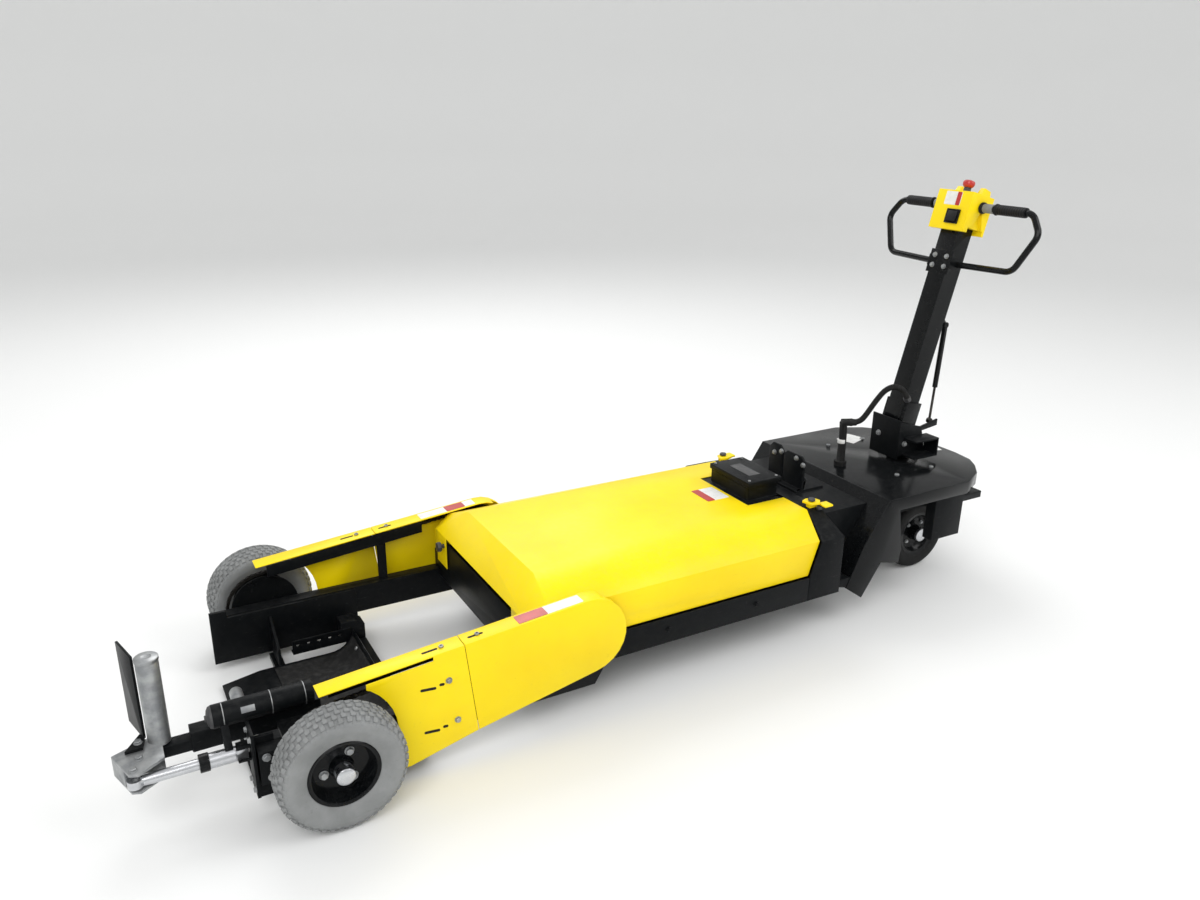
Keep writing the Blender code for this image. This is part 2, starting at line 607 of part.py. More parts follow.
def charger_and_latches():
    plate_z = HOOD_TOP - 0.002
    base = box((NOTCH_X + 0.003, 1.5880), (-(NOTCH_HALF - 0.003), NOTCH_HALF - 0.003), (plate_z - 0.006, plate_z))
    leg = box((NOTCH_X + 0.04, 1.46), (-0.11, 0.11), (0.3653, plate_z - 0.003))
    body = box((1.462, 1.584), (-0.103, 0.103), (plate_z - 0.003, 0.462))
    lid = box((1.458, 1.598), (-0.108, 0.108), (0.452, 0.470))
    solid("charger_box", base, "black", add=[leg, body, lid])
    for side, s in SIDES:
        post = box((1.600, 1.632), (s * 0.232, s * 0.250), (HOOD_TOP + GAP, HOOD_TOP + 0.016))
        tab = [(1.592, 0.222), (1.612, 0.214), (1.640, 0.222), (1.646, 0.246), (1.632, 0.262), (1.600, 0.256)]
        wing = prism(mirrored(tab, s), "Z", HOOD_TOP + 0.012, HOOD_TOP + 0.020)
        solid(f"hood_latch_{side}", wing, "yellow", add=[post])


def eared(low_y, high_y, low, high, corner=0.016):
    """Outline of an upright plate with its two top corners cut off."""
    return [(low_y, low), (high_y, low), (high_y, high - corner), (high_y - corner, high), (low_y + corner, high),
            (low_y, high - corner)]


def neck():
    """Joins the body to the rear unit, with two bolted ears and a gusset on top."""
    low, high = 0.190, 0.380
    back = [(slope_x(high) - 0.0008, high), (slope_x(0.268) - 0.0008, 0.268), (slope_x(low) - 0.0008, low)]
    outline = [(BODY_REAR + GAP, low), (BODY_REAR + GAP, high)] + back
    sill = [(BODY_REAR + GAP, 0.150), (slope_x(0.131) - 0.0008, 0.131), (slope_x(0.165) - 0.0008, 0.165),
            (BODY_REAR + GAP, 0.165)]
    web = [(BODY_REAR + GAP, 0.160), (slope_x(0.160) - 0.0008, 0.160), (slope_x(low) - 0.0008, low + 0.002),
           (BODY_REAR + GAP, low + 0.002)]
    ears = [prism(eared(0.034, 0.104, high - 0.01, 0.512), "X", 1.716, 1.724),
            prism(eared(-0.078, 0.026, high - 0.01, 0.505), "X", 1.716, 1.724),
            prism(sill, "Y", -0.3330, 0.3330), prism(web, "Y", -0.240, 0.240),
            prism([(1.7235, 0.500), (1.7235, high - 0.001), (1.800, high - 0.001)], "Y", -0.010, -0.002),
            prism([(1.7235, 0.500), (1.7235, high - 0.001), (1.790, high - 0.001)], "Y", 0.060, 0.068)]
    foot = box((1.690, 1.812), (-0.080, 0.106), (high - 0.004, high + 0.008))
    solid("neck_frame", prism(outline, "Y", -0.255, 0.255), "black", add=[foot] + ears)


# ---------------------------------------------------------------- rear unit
def slope_x(z):
    """Front face of the rear hood at a height: two flats with a bend between them."""
    bend_x, bend_z, low_x, low_z = 1.776, 0.268, 1.715, 0.128
    if z > bend_z:
        return bend_x + (REAR_FRONT - bend_x) * (z - bend_z) / (REAR_TOP - bend_z)
    return low_x + (bend_x - low_x) * (z - low_z) / (bend_z - low_z)


def rear_hood():
    lip_z = REAR_TOP - LIP
    rim = [(REAR_FRONT, REAR_HALF), (2.245, REAR_HALF), (2.344, 0.287), (2.398, 0.232), (2.433, 0.179), (2.445, 0.10)]
    points, faces = {}, []
    hole = 0.062
    steps = 10
    for tag, s in (("l", 1), ("r", -1)):
        for i, (x, y) in enumerate(rim):
            points[f"rim{i}_{tag}"] = (x, s * y, REAR_TOP)
            if i:
                points[f"lip{i}_{tag}"] = (x, s * y, lip_z)
        points[f"bend_{tag}"] = (slope_x(0.268), s * REAR_HALF, 0.268)
        points[f"low_{tag}"] = (slope_x(0.128), s * REAR_HALF, 0.128)
        side = [(1.790, 0.075), (1.864, 0.189), (1.946, 0.170), (1.952, 0.221), (1.926, lip_z)]
        for i, (x, z) in enumerate(side):
            points[f"side{i}_{tag}"] = (x, s * REAR_HALF, z)
        for i in range(1, len(rim) - 1):
            faces.append((f"rim{i}_{tag}", f"rim{i + 1}_{tag}", f"lip{i + 1}_{tag}", f"lip{i}_{tag}"))
        faces.append((f"rim0_{tag}", f"rim1_{tag}", f"lip1_{tag}", f"side4_{tag}", f"side3_{tag}", f"side2_{tag}",
                      f"side1_{tag}", f"side0_{tag}", f"low_{tag}", f"bend_{tag}"))
        for i in range(steps + 1):
            turn = pi * i / steps
            if s > 0 or 0 < i < steps:
                points[f"hole{i}_{tag}"] = (STEER_X - hole * cos(turn), s * hole * sin(turn), REAR_TOP)
    last = len(rim) - 1
    points["front_mid"] = (REAR_FRONT, 0, REAR_TOP)
    points["rear_mid"] = (rim[-1][0], 0, REAR_TOP)
    points["lip_mid"] = (rim[-1][0], 0, lip_z)
    left_hole = [f"hole{i}_l" for i in range(steps + 1)]
    right_hole = ["hole0_l"] + [f"hole{i}_r" for i in range(1, steps)] + [f"hole{steps}_l"]
    faces.append(["front_mid"] + left_hole + ["rear_mid"] + [f"rim{i}_l" for i in range(last, -1, -1)])
    faces.append(["front_mid"] + right_hole + ["rear_mid"] + [f"rim{i}_r" for i in range(last, -1, -1)])
    for tag in "lr":
        faces.append((f"rim{last}_{tag}", "rear_mid", "lip_mid", f"lip{last}_{tag}"))
    faces.append(("rim0_l", "front_mid", "rim0_r", "bend_r", "bend_l"))
    faces.append(("bend_l", "bend_r", "low_r", "low_l"))
    folded("rear_hood", skin(points, faces), "gloss_black")


def rear_frame():
    low, high = 0.3353, 0.390
    inset = 0.0062
    pieces = []
    for side, s in SIDES:
        outline = [(slope_x(low) + inset, low), (slope_x(high) + inset, high), (2.310, high), (2.310, low)]
        pieces.append(prism(outline, "Y", s * 0.250, s * 0.294))
        pieces.append(box((2.100, 2.236), (s * 0.290, s * 0.3310), (0.216, high)))
    plate = box((2.130, 2.370), (-0.297, 0.297), (0.317, low + 0.006))
    hole = rod((STEER_X, 0, 0.30), (STEER_X, 0, 0.36), COLUMN_R + 0.005, 32)
    solid("rear_frame", plate, "black", add=pieces, cut=[hole])
    gland_x = 1.960
    stem = rod((gland_x, 0, REAR_TOP + GAP), (gland_x, 0, 0.430), 0.022, 16)
    sleeve = rod((gland_x, 0, 0.428), (gland_x, 0, 0.530), 0.0150, 16, 0.0135)
    elbow = [rod((gland_x, 0, 0.526), (gland_x - 0.004, 0, 0.576), 0.0135, 16),
             rod((gland_x - 0.010, 0.0021, 0.5745), (1.9787, -0.0105, 0.5745), 0.0135, 16)]
    solid("cable_gland", stem, "rubber", add=[sleeve] + elbow)


# ---------------------------------------------------------------- steering and rear wheels
def steering():
    yoke = box((STEER_X - 0.042, STEER_X + 0.042), (-0.058, 0.058), (0.098, 0.290))
    column = rod((STEER_X, 0, 0.285), (STEER_X, 0, 0.430), COLUMN_R, 32)
    flange = rod((STEER_X, 0, 0.4185), (STEER_X, 0, 0.4300), 0.070, 32)
    bore = rod((STEER_X, -0.1, REAR_WHEEL_R), (STEER_X, 0.1, REAR_WHEEL_R), REAR_AXLE_R + GAP, 24)
    solid("steering_yoke", yoke, "black", steer_axis, add=[column, flange], cut=[bore])
    base_z = 0.4303
    front = TILT_X - 0.042
    base = box((front - 0.006, STEER_X + 0.062), (-0.068, 0.068), (base_z, base_z + 0.008))
    parts = [box((front - 0.006, front), (-0.068, 0.068), (0.4185, 0.566))]
    for s in (1, -1):
        cheek = [(front - 0.003, base_z + 0.004), (STEER_X + 0.060, base_z + 0.004), (STEER_X + 0.030, 0.530),
                 (front - 0.003, 0.560)]
        parts.append(prism(cheek, "Y", s * 0.068, s * 0.061))
    lug = [(STEER_X + 0.020, 0.508), (STEER_X + 0.118, 0.521), (STEER_X + 0.118, 0.545), (STEER_X + 0.020, 0.524)]
    parts.append(prism(lug, "Y", -0.0545, -0.0620))
    parts += [box((2.196, 2.312), (-0.1280, -0.066), z) for z in ((base_z + 0.001, base_z + 0.007), (0.494, 0.500))]
    parts.append(box((2.306, 2.312), (-0.1280, -0.066), (base_z + 0.003, 0.498)))
    solid("tiller_bracket", base, "black", steer_axis, add=parts)


def rear_wheels():
    half = REAR_WHEEL_W / 2
    rim_r = 0.085
    for side, s in SIDES:
        outer = [(rim_r, half * 0.8), (0.105, half), (0.122, half * 0.96), (0.132, half * 0.7), (REAR_WHEEL_R, 0.0)]
        profile = outer + [(r, -y) for r, y in outer[-2::-1]]
        middle = s * REAR_WHEEL_Y
        solid(f"rear_tyre_{side}", turned_y([(r, middle + y) for r, y in profile], (STEER_X, REAR_WHEEL_R), 40),
              "rubber", rear_wheel_axis)
    rim = [(REAR_AXLE_R, -half), (0.026, -half), (0.030, -0.006), (0.066, -0.006), (0.072, -half * 0.7),
           (rim_r - GAP, -half * 0.8), (rim_r - GAP, half * 0.8), (0.072, half * 0.7), (0.062, 0.002),
           (0.030, 0.002), (0.026, half), (0.024, half + 0.012), (0.0003, half + 0.012)]
    right = [(r, -REAR_WHEEL_Y - y) for r, y in rim]
    left = [(r, REAR_WHEEL_Y + y) for r, y in rim]
    solid("rear_wheel_hubs", turned_y(left + right[::-1], (STEER_X, REAR_WHEEL_R), 32), "gloss_black",
          rear_wheel_axis)


# ---------------------------------------------------------------- tiller
def leaning(mesh):
    bmesh.ops.transform(mesh, matrix=TILLER, verts=mesh.verts)
    return mesh


def tiller():
    half = TUBE / 2
    column = leaning(box((-half, half), (-half, half), (0.020, TUBE_LEN)))
    fork = [(-0.034, 0.0), (-0.034, 0.120), (0.040, 0.125), (0.040, 0.0)] + arc((0, 0), 0.034, -20, -160, 8)
    cheeks = [leaning(prism(fork, "Y", s * (half - 0.002), s * (half + 0.012))) for s in (1, -1)]
    rise = [(half - 0.001, 0.405), (half + 0.026, 0.412), (half + 0.026, 0.432), (half - 0.001, 0.450)]
    ear = leaning(prism(rise, "Y", -0.0230, -0.0150))
    pivot = rod((TILT_X, -0.0600, TILT_Z), (TILT_X, 0.0600, TILT_Z), 0.011, 16)
    clamp = [leaning(box((-half - 0.0030, -half + 0.002), (-0.048, 0.048), (0.590, 0.672)))]
    clamp += [leaning(box((-half - 0.004, 0.022), (s * (half - 0.002), s * (half + 0.0123)), (HANDLE_LOW - 0.020,
                                                                                             HANDLE_LOW + 0.020)))
              for s in (1, -1)]
    solid("tiller_tube", column, "black", tilt_axis, add=cheeks + [ear, pivot] + clamp)
    half_loop = [(HANDLE_WIDE, HANDLE_TOP), (GRIP_Y, HANDLE_TOP - 0.065), (0.272, HANDLE_LOW + 0.006),
                 (half + 0.0127, HANDLE_LOW)]
    corners = [tiller_point(0, -y, t) for y, t in half_loop[::-1]] + [tiller_point(0, y, t) for y, t in half_loop]
    bent_tube("handle_loop", rounded_path(corners, [0.040, 0.040, 0.045, 0.045, 0.040, 0.040]), BAR_R, "black",
              tilt_axis)
    for side, s in SIDES:
        start, end = tiller_point(0, s * 0.136, HANDLE_TOP), tiller_point(0, s * 0.258, HANDLE_TOP)
        sleeve = rod(start, end, 0.0175, 20)
        bore = rod(tiller_point(0, s * 0.11, HANDLE_TOP), tiller_point(0, s * 0.28, HANDLE_TOP), BAR_R + GAP, 20)
        solid(f"handle_grip_{side}", sleeve, "grip", tilt_axis, cut=[bore])


def control_head():
    front, rear, half = -0.062, 0.050, 0.076
    low, high = 0.742, 0.877
    shell = leaning(box((front, rear), (-half, half), (TUBE_LEN + GAP, high)))
    skirts = [leaning(box((front, -TUBE / 2 - 0.002), (-half, half), (low, TUBE_LEN + 0.004))),
              leaning(box((TUBE / 2 + 0.002, rear), (-half, half), (low, TUBE_LEN + 0.004)))]
    ears = [leaning(prism([(-0.006, high - 0.002), (0.046, high - 0.002), (0.040, high + 0.020),
                           (0.008, high + 0.026)], "Y", s * 0.040, s * 0.060)) for s in (1, -1)]
    notches = []
    for s in (1, -1):
        notch = [(-0.040, low - 0.01), (0.0, 0.812), (-0.018, 0.835), (0.0, 0.853), (0.018, 0.835), (0.012, 0.812),
                 (0.045, low - 0.01)]
        notches.append(leaning(prism(notch, "Y", s * 0.062, s * 0.100)))
    notches.append(rod(tiller_point(0, -0.1, HANDLE_TOP), tiller_point(0, 0.1, HANDLE_TOP), BAR_R + GAP, 20))
    solid("control_head", shell, "yellow", tilt_axis, add=skirts + ears, cut=notches)
    rocker = leaning(box((front - 0.012, front - GAP), (-0.045, 0.010), (0.763, 0.812)))
    solid("speed_rocker", rocker, "grip", tilt_axis)
    centre = (-0.018, -0.006)
    stem = rod(tiller_point(centre[0], centre[1], high + GAP), tiller_point(centre[0], centre[1], high + 0.026),
               0.013, 20)
    cap = rod(tiller_point(centre[0], centre[1], high + 0.022), tiller_point(centre[0], centre[1], high + 0.044),
              0.014, 24, 0.020)
    solid("emergency_stop", stem, "red", tilt_axis, add=[cap])


def gas_spring():
    """Cylinder hangs from the ear on the tiller; its rod reaches the bracket's lug."""
    top = tiller_point(TUBE / 2 + 0.014, -0.034, 0.420)
    bottom = Vector((STEER_X + 0.106, -0.034, 0.533))
    down = (bottom - top).normalized()
    group = empty("spring_axis", tuple(top), tilt_axis)
    body = rod(top + down * 0.005, top + down * 0.232, 0.0095, 20)
    eye = rod(top + Vector((0, -0.007, 0)), top + Vector((0, 0.007, 0)), 0.011, 16)
    bore = rod(top + down * 0.040, top + down * 0.30, 0.0052, 16)
    solid("gas_spring_cylinder", body, "black", group, add=[eye], cut=[bore])
    shaft = rod(top + down * 0.222, bottom - down * 0.006, 0.0047, 12)
    foot = rod(bottom + Vector((0, -0.007, 0)), bottom + Vector((0, 0.007, 0)), 0.010, 16)
    solid("gas_spring_rod", shaft, "steel", group, add=[foot])


def control_cable():
    """Corrugated cable: up from the gland, over to the tiller's bracket, and on to the tube."""
    route = [(1.9800, -0.0111, 0.5745), (1.9950, -0.0177, 0.5745), (2.0150, -0.0245, 0.581), (2.0320, -0.027, 0.597),
             (2.0460, -0.032, 0.620), (2.0650, -0.042, 0.656), (2.0890, -0.050, 0.686), (2.1200, -0.056, 0.698),
             (2.1550, -0.059, 0.690), (2.1840, -0.059, 0.666), (2.2020, -0.059, 0.636)]
    points = smooth_line(route, 0.012)
    split = next(i for i, p in enumerate(points) if p.x > 2.120)
    onward = (points[split] - points[split - 1]).normalized()
    start = [points[split] + onward * GAP, points[split] + onward * 0.005]
    bent_tube("control_cable_lower", points[:split + 1], CABLE_R, "rubber", datum, 2)
    bent_tube("control_cable_upper", start + points[split + 1:], CABLE_R, "rubber", steer_axis, 2)


# ---------------------------------------------------------------- gate and its actuator
def gate():
    half = RAIL_IN - SIDE_PLATE - GAP
    beam = box((-0.296, 0.010), (GATE_Y - 0.022, GATE_Y + 0.022), (0.155, 0.208))
    lug = [(-0.290, GATE_Y - 0.018), (-0.290, GATE_Y + 0.018)]
    lug += arc((GATE_X, GATE_Y), 0.018, 90, 270, 10)
    tongue = prism(lug, "Z", 0.158, 0.188)
    arm = box((-0.100, 0.005), (-half, GATE_Y), (0.158, 0.176))
    hole = rod((GATE_X, GATE_Y, 0.14), (GATE_X, GATE_Y, 0.21), 0.0083, 20)
    solid("gate_beam", beam, "black", add=[tongue, arm], cut=[hole])
    outline = [(-0.467, -0.253), (-0.437, -0.342), (-0.418, -0.350), (-0.359, -0.311)]
    outline += arc((GATE_X, GATE_Y), 0.022, -20, 110, 8)
    top = prism(outline, "Z", 0.1935, 0.2005)
    bottom = prism(outline, "Z", 0.1475, 0.1525)
    web = prism([(-0.467, -0.253), (-0.4465, -0.3126), (-0.4395, -0.3103), (-0.460, -0.2505)], "Z", 0.1500, 0.1960)
    pin = rod((GATE_X, GATE_Y, 0.150), (GATE_X, GATE_Y, 0.199), 0.008, 20)
    roller = rod((*POST, 0.1936), (*POST, 0.420), 0.0255, 28)
    solid("gate_head", top, "galvanised", gate_axis, add=[bottom, web, pin, roller])
    wing = [(-0.377, -0.222), (-0.402, -0.126)]
    direction = (Vector(wing[1]) - Vector(wing[0])).normalized()
    across = Vector((direction.y, -direction.x)) * 0.006
    near = Vector(wing[0]) + direction * 0.004
    far = Vector(wing[1])
    corners = [near - across * 1.9, far - across * 1.9, far - across * 2.9, near - across * 2.9]
    plate = prism([(c.x, c.y) for c in corners], "Z", 0.205, 0.425)
    tie = prism([(-0.4385, -0.262), (-0.400, -0.262), (-0.3905, -0.212), (-0.402, -0.205)], "Z", 0.2008, 0.2090)
    solid("gate_guard_plate", plate, "black", gate_axis, add=[tie])


def actuator():
    pivot = Vector((*ACTUATOR_PIVOT, GATE_Z))
    eye = Vector((*EYE, GATE_Z))
    run = (eye - pivot).normalized()
    tube = rod(pivot + run * 0.014, pivot + run * 0.080, 0.0185, 28)
    collar = rod(pivot + run * 0.074, pivot + run * 0.096, 0.0215, 28)
    lug = box((pivot.x - 0.020, pivot.x + 0.012), (pivot.y - 0.012, pivot.y + 0.012), (GATE_Z - 0.014, GATE_Z + 0.014))
    bore = rod(pivot + run * 0.020, pivot + run * 0.20, 0.0142, 20)
    pin_hole = rod(pivot - Vector((0, 0, 0.03)), pivot + Vector((0, 0, 0.03)), 0.0053, 16)
    solid("actuator_tube", tube, "steel", actuator_axis, add=[collar, lug], cut=[bore, pin_hole])
    motor_y, motor_z, motor_r = -0.268, 0.243, 0.0290
    motor = rod((-0.246, motor_y, motor_z), (-0.010, motor_y, motor_z), motor_r, 32)
    strap = prism([(motor_y + 0.012, motor_z), (motor_y - 0.012, motor_z), (-0.338, GATE_Z + 0.0188),
                   (-0.318, GATE_Z + 0.0188)], "X", -0.232, -0.214)
    solid("actuator_motor", motor, "black", actuator_axis, add=[strap])
    reach = (eye - pivot).length
    shaft = rod(pivot + run * 0.0935, pivot + run * (reach - 0.012), 0.0130, 20)
    foot = rod(eye - Vector((0, 0, 0.010)), eye + Vector((0, 0, 0.010)), 0.017, 20)
    eye_hole = rod(eye - Vector((0, 0, 0.02)), eye + Vector((0, 0, 0.02)), 0.0095, 16)
    solid("actuator_rod", shaft, "steel", actuator_axis, add=[foot], cut=[eye_hole])
    plate = box((-0.1780, RAIL_FRONT - 0.0043), (-0.372, -0.303), (0.055, 0.232))
    ears = [box((pivot.x - 0.012, -0.176), (pivot.y - 0.014, pivot.y + 0.014), z)
            for z in ((GATE_Z + 0.0145, GATE_Z + 0.0205), (GATE_Z - 0.0205, GATE_Z - 0.0145))]
    pin = rod(pivot - Vector((0, 0, 0.022)), pivot + Vector((0, 0, 0.022)), 0.005, 16)
    solid("actuator_mount", plate, "black", add=ears + [pin])


rails()
cradle()
front_wheels()
chain_drive()
chain_guards()
hood()
pan()
rear_section()
charger_and_latches()
neck()
rear_hood()
rear_frame()
steering()
rear_wheels()
tiller()
control_head()
gas_spring()
control_cable()
gate()
actuator()
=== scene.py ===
import bpy
import json
import math
from mathutils import Matrix, Vector
from mathutils.bvhtree import BVHTree


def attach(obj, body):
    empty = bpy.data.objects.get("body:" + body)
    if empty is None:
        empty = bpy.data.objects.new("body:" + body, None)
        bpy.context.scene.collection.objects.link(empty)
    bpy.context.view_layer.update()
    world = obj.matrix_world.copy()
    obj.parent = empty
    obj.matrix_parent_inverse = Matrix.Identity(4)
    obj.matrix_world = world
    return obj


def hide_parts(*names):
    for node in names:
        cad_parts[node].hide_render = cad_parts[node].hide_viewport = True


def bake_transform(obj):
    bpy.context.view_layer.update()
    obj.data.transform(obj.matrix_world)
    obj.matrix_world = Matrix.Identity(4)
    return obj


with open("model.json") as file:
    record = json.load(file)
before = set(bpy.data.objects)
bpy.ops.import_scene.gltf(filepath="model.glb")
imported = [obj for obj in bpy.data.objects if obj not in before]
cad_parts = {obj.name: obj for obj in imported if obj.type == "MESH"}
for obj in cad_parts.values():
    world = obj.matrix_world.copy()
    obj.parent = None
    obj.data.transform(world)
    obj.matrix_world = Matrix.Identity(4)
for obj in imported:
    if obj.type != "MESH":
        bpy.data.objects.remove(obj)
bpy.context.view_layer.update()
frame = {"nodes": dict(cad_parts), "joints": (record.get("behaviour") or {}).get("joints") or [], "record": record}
nodes = frame["nodes"]
joints = {joint["name"]: joint for joint in frame["joints"]}
axleX = joints["front_wheel_left_spin"]["pos_m"][0]   # x counts from the front axle below
sides = (("left", 1), ("right", -1))
yAxis = Vector((0, 1, 0))
xAxis = Vector((1, 0, 0))
zAxis = Vector((0, 0, 1))


def spot(x, y, z):
    return Vector((x + axleX, y, z))


# camera, floor and light
cameraSet = {"place": (-0.401, -2.388, 1.623), "yaw": 29.669, "pitch": 19.790, "roll": -0.823,
             "lens": 28.67, "film": 36.0}


def addCamera(settings):
    yaw, pitch, roll = (math.radians(settings[name]) for name in ("yaw", "pitch", "roll"))
    right = Vector((math.cos(yaw), -math.sin(yaw), 0))
    ahead = Vector((math.sin(yaw) * math.cos(pitch), math.cos(yaw) * math.cos(pitch), -math.sin(pitch)))
    down = ahead.cross(right)
    across = right * math.cos(roll) + down * math.sin(roll)
    drop = down * math.cos(roll) - right * math.sin(roll)
    bpy.ops.object.camera_add()
    camera = bpy.context.object
    turn = Matrix((across, -drop, -ahead)).transposed()
    camera.matrix_world = Matrix.Translation(spot(*settings["place"])) @ turn.to_4x4()
    camera.data.lens = settings["lens"]
    camera.data.sensor_width = settings["film"]
    bpy.context.scene.camera = camera


addCamera(cameraSet)

# the dish is (radius, height) pairs, and each lamp is its place, size and power
stageSet = {"floor": (0.83, 0.835, 0.83), "rough": 0.9, "drop": -0.0006, "world": 0.78, "aim": (0, 0, 0.3),
            "dish": ((9.0, 0.0), (10.6, 0.25), (11.9, 1.0), (12.8, 2.3), (13.2, 4.0), (13.3, 7.5)),
            "lamps": (((-3.2, -3.6, 4.4), 3.6, 145.0), ((3.4, -3.2, 4.2), 3.2, 95.0),
                      ((0.6, 3.8, 4.6), 3.6, 118.0))}


def addStage(settings):
    rings = settings["dish"]
    bpy.ops.object.select_all(action="DESELECT")
    bpy.ops.mesh.primitive_circle_add(vertices=128, radius=rings[0][0], location=(0, 0, settings["drop"]),
                                      fill_type="NGON")
    floor = bpy.context.object
    floor.name = "studioFloor"
    bpy.ops.object.mode_set(mode="EDIT")
    bpy.ops.mesh.select_all(action="SELECT")
    bpy.ops.mesh.region_to_loop()
    for (radius, height), (nextRadius, nextHeight) in zip(rings, rings[1:]):
        bpy.ops.mesh.extrude_region_move(TRANSFORM_OT_translate={"value": (0, 0, nextHeight - height)})
        share = nextRadius / radius
        bpy.ops.transform.resize(value=(share, share, 1), center_override=(0, 0, 0))
    bpy.ops.object.mode_set(mode="OBJECT")
    bpy.ops.object.shade_smooth()
    pale = bpy.data.materials.new("paleFloor")
    pale.use_nodes = True
    shader = pale.node_tree.nodes["Principled BSDF"]
    shader.inputs["Base Color"].default_value = (*settings["floor"], 1)
    shader.inputs["Roughness"].default_value = settings["rough"]
    floor.data.materials.append(pale)
    world = bpy.data.worlds.new("studioWorld")
    world.use_nodes = True
    world.node_tree.nodes["Background"].inputs["Color"].default_value = (1, 1, 1, 1)
    world.node_tree.nodes["Background"].inputs["Strength"].default_value = settings["world"]
    bpy.context.scene.world = world
    for place, size, power in settings["lamps"]:
        bpy.ops.object.light_add(type="AREA", location=place)
        lamp = bpy.context.object
        lamp.data.size = size
        lamp.data.energy = power
        aim = Vector(settings["aim"]) - Vector(place)
        lamp.rotation_euler = aim.to_track_quat("-Z", "Y").to_euler()
    bpy.context.scene.view_settings.view_transform = "Standard"


addStage(stageSet)
print("camera, floor and light are in place")


# shader node groups
def newGroup(name, takes, gives):
    tree = bpy.data.node_groups.new(name, "ShaderNodeTree")
    for label, kind, value in takes:
        socket = tree.interface.new_socket(label, in_out="INPUT", socket_type=kind)
        if value is not None:
            socket.default_value = value
    for label, kind in gives:
        tree.interface.new_socket(label, in_out="OUTPUT", socket_type=kind)
    return tree, tree.nodes.new("NodeGroupInput"), tree.nodes.new("NodeGroupOutput")


def objectPlace(tree, stretch=None):
    place = tree.nodes.new("ShaderNodeTexCoord").outputs["Object"]
    if stretch is None:
        return place
    mapping = tree.nodes.new("ShaderNodeMapping")
    mapping.inputs["Scale"].default_value = stretch
    tree.links.new(place, mapping.inputs["Vector"])
    return mapping.outputs["Vector"]


def noiseOf(tree, place, scale, detail=3.0, rough=0.55):
    noise = tree.nodes.new("ShaderNodeTexNoise")
    tree.links.new(place, noise.inputs["Vector"])
    if isinstance(scale, float):
        noise.inputs["Scale"].default_value = scale
    else:
        tree.links.new(scale, noise.inputs["Scale"])
    noise.inputs["Detail"].default_value = detail
    noise.inputs["Roughness"].default_value = rough
    return noise.outputs["Fac"]


def mathOf(tree, kind, first, second, clamp=False):
    node = tree.nodes.new("ShaderNodeMath")
    node.operation = kind
    node.use_clamp = clamp
    for socket, value in zip(node.inputs, (first, second)):
        if isinstance(value, float):
            socket.default_value = value
        else:
            tree.links.new(value, socket)
    return node.outputs["Value"]


def rangeOf(tree, value, low, high, newLow, newHigh):
    node = tree.nodes.new("ShaderNodeMapRange")
    tree.links.new(value, node.inputs["Value"])
    for label, number in (("From Min", low), ("From Max", high), ("To Min", newLow), ("To Max", newHigh)):
        if isinstance(number, float):
            node.inputs[label].default_value = number
        else:
            tree.links.new(number, node.inputs[label])
    return node.outputs["Result"]


def mixOf(tree, mask, first, second):
    node = tree.nodes.new("ShaderNodeMix")
    node.data_type = "RGBA"
    tree.links.new(mask, node.inputs["Factor"])
    for label, value in (("A", first), ("B", second)):
        socket = [item for item in node.inputs if item.name == label and item.type == "RGBA"][0]
        if isinstance(value, tuple):
            socket.default_value = (*value, 1)
        else:
            tree.links.new(value, socket)
    return [item for item in node.outputs if item.type == "RGBA"][0]


colourKind, numberKind = "NodeSocketColor", "NodeSocketFloat"
# where each mask's noise starts to count and is full
maskSet = {"cloud": (0.36, 0.66), "speck": (0.45, 0.75), "line": (0.68, 0.74), "spot": (0.66, 0.74),
           "up": (0.1, 1.0, 0.25, 1.0), "lineStretch": (3.0, 34.0, 20.0), "spotStretch": (7.0, 7.0, 7.0)}


def maskOf(tree, kind, scale, detail, rough=0.55, stretch=None):
    return rangeOf(tree, noiseOf(tree, objectPlace(tree, stretch), scale, detail, rough), *maskSet[kind], 0.0,
                   1.0)


def coverGroup(name, base, cover, scale, amount, mask):
    # a second colour over a first one, where the mask that is made from the scale says so
    tree, taken, given = newGroup(name, ((base, colourKind, None), (cover, colourKind, None),
                                         *((("Amount", numberKind, amount),) if amount else ()),
                                         ("Scale", numberKind, scale)),
                                  (("Color", colourKind), ("Mask", numberKind)))
    where = mask(tree, taken.outputs["Scale"])
    if amount:
        where = mathOf(tree, "MULTIPLY", where, taken.outputs["Amount"], True)
    tree.links.new(mixOf(tree, where, taken.outputs[base], taken.outputs[cover]), given.inputs["Color"])
    tree.links.new(where, given.inputs["Mask"])
    return tree


def cloudMask(tree, scale):
    # broad cloudy change between two tones
    return maskOf(tree, "cloud", scale, 4.0)


def dustMask(tree, scale):
    # specks that settle on what faces up
    split = tree.nodes.new("ShaderNodeSeparateXYZ")
    tree.links.new(tree.nodes.new("ShaderNodeNewGeometry").outputs["Normal"], split.inputs["Vector"])
    up = rangeOf(tree, split.outputs["Z"], *maskSet["up"])
    return mathOf(tree, "MULTIPLY", up, maskOf(tree, "speck", scale, 6.0, 0.7))


def scuffMask(tree, scale):
    # fine long scratches and small rubbed spots
    lines = maskOf(tree, "line", scale, 2.0, stretch=maskSet["lineStretch"])
    spots = maskOf(tree, "spot", scale, 5.0, stretch=maskSet["spotStretch"])
    return mathOf(tree, "MAXIMUM", lines, spots)


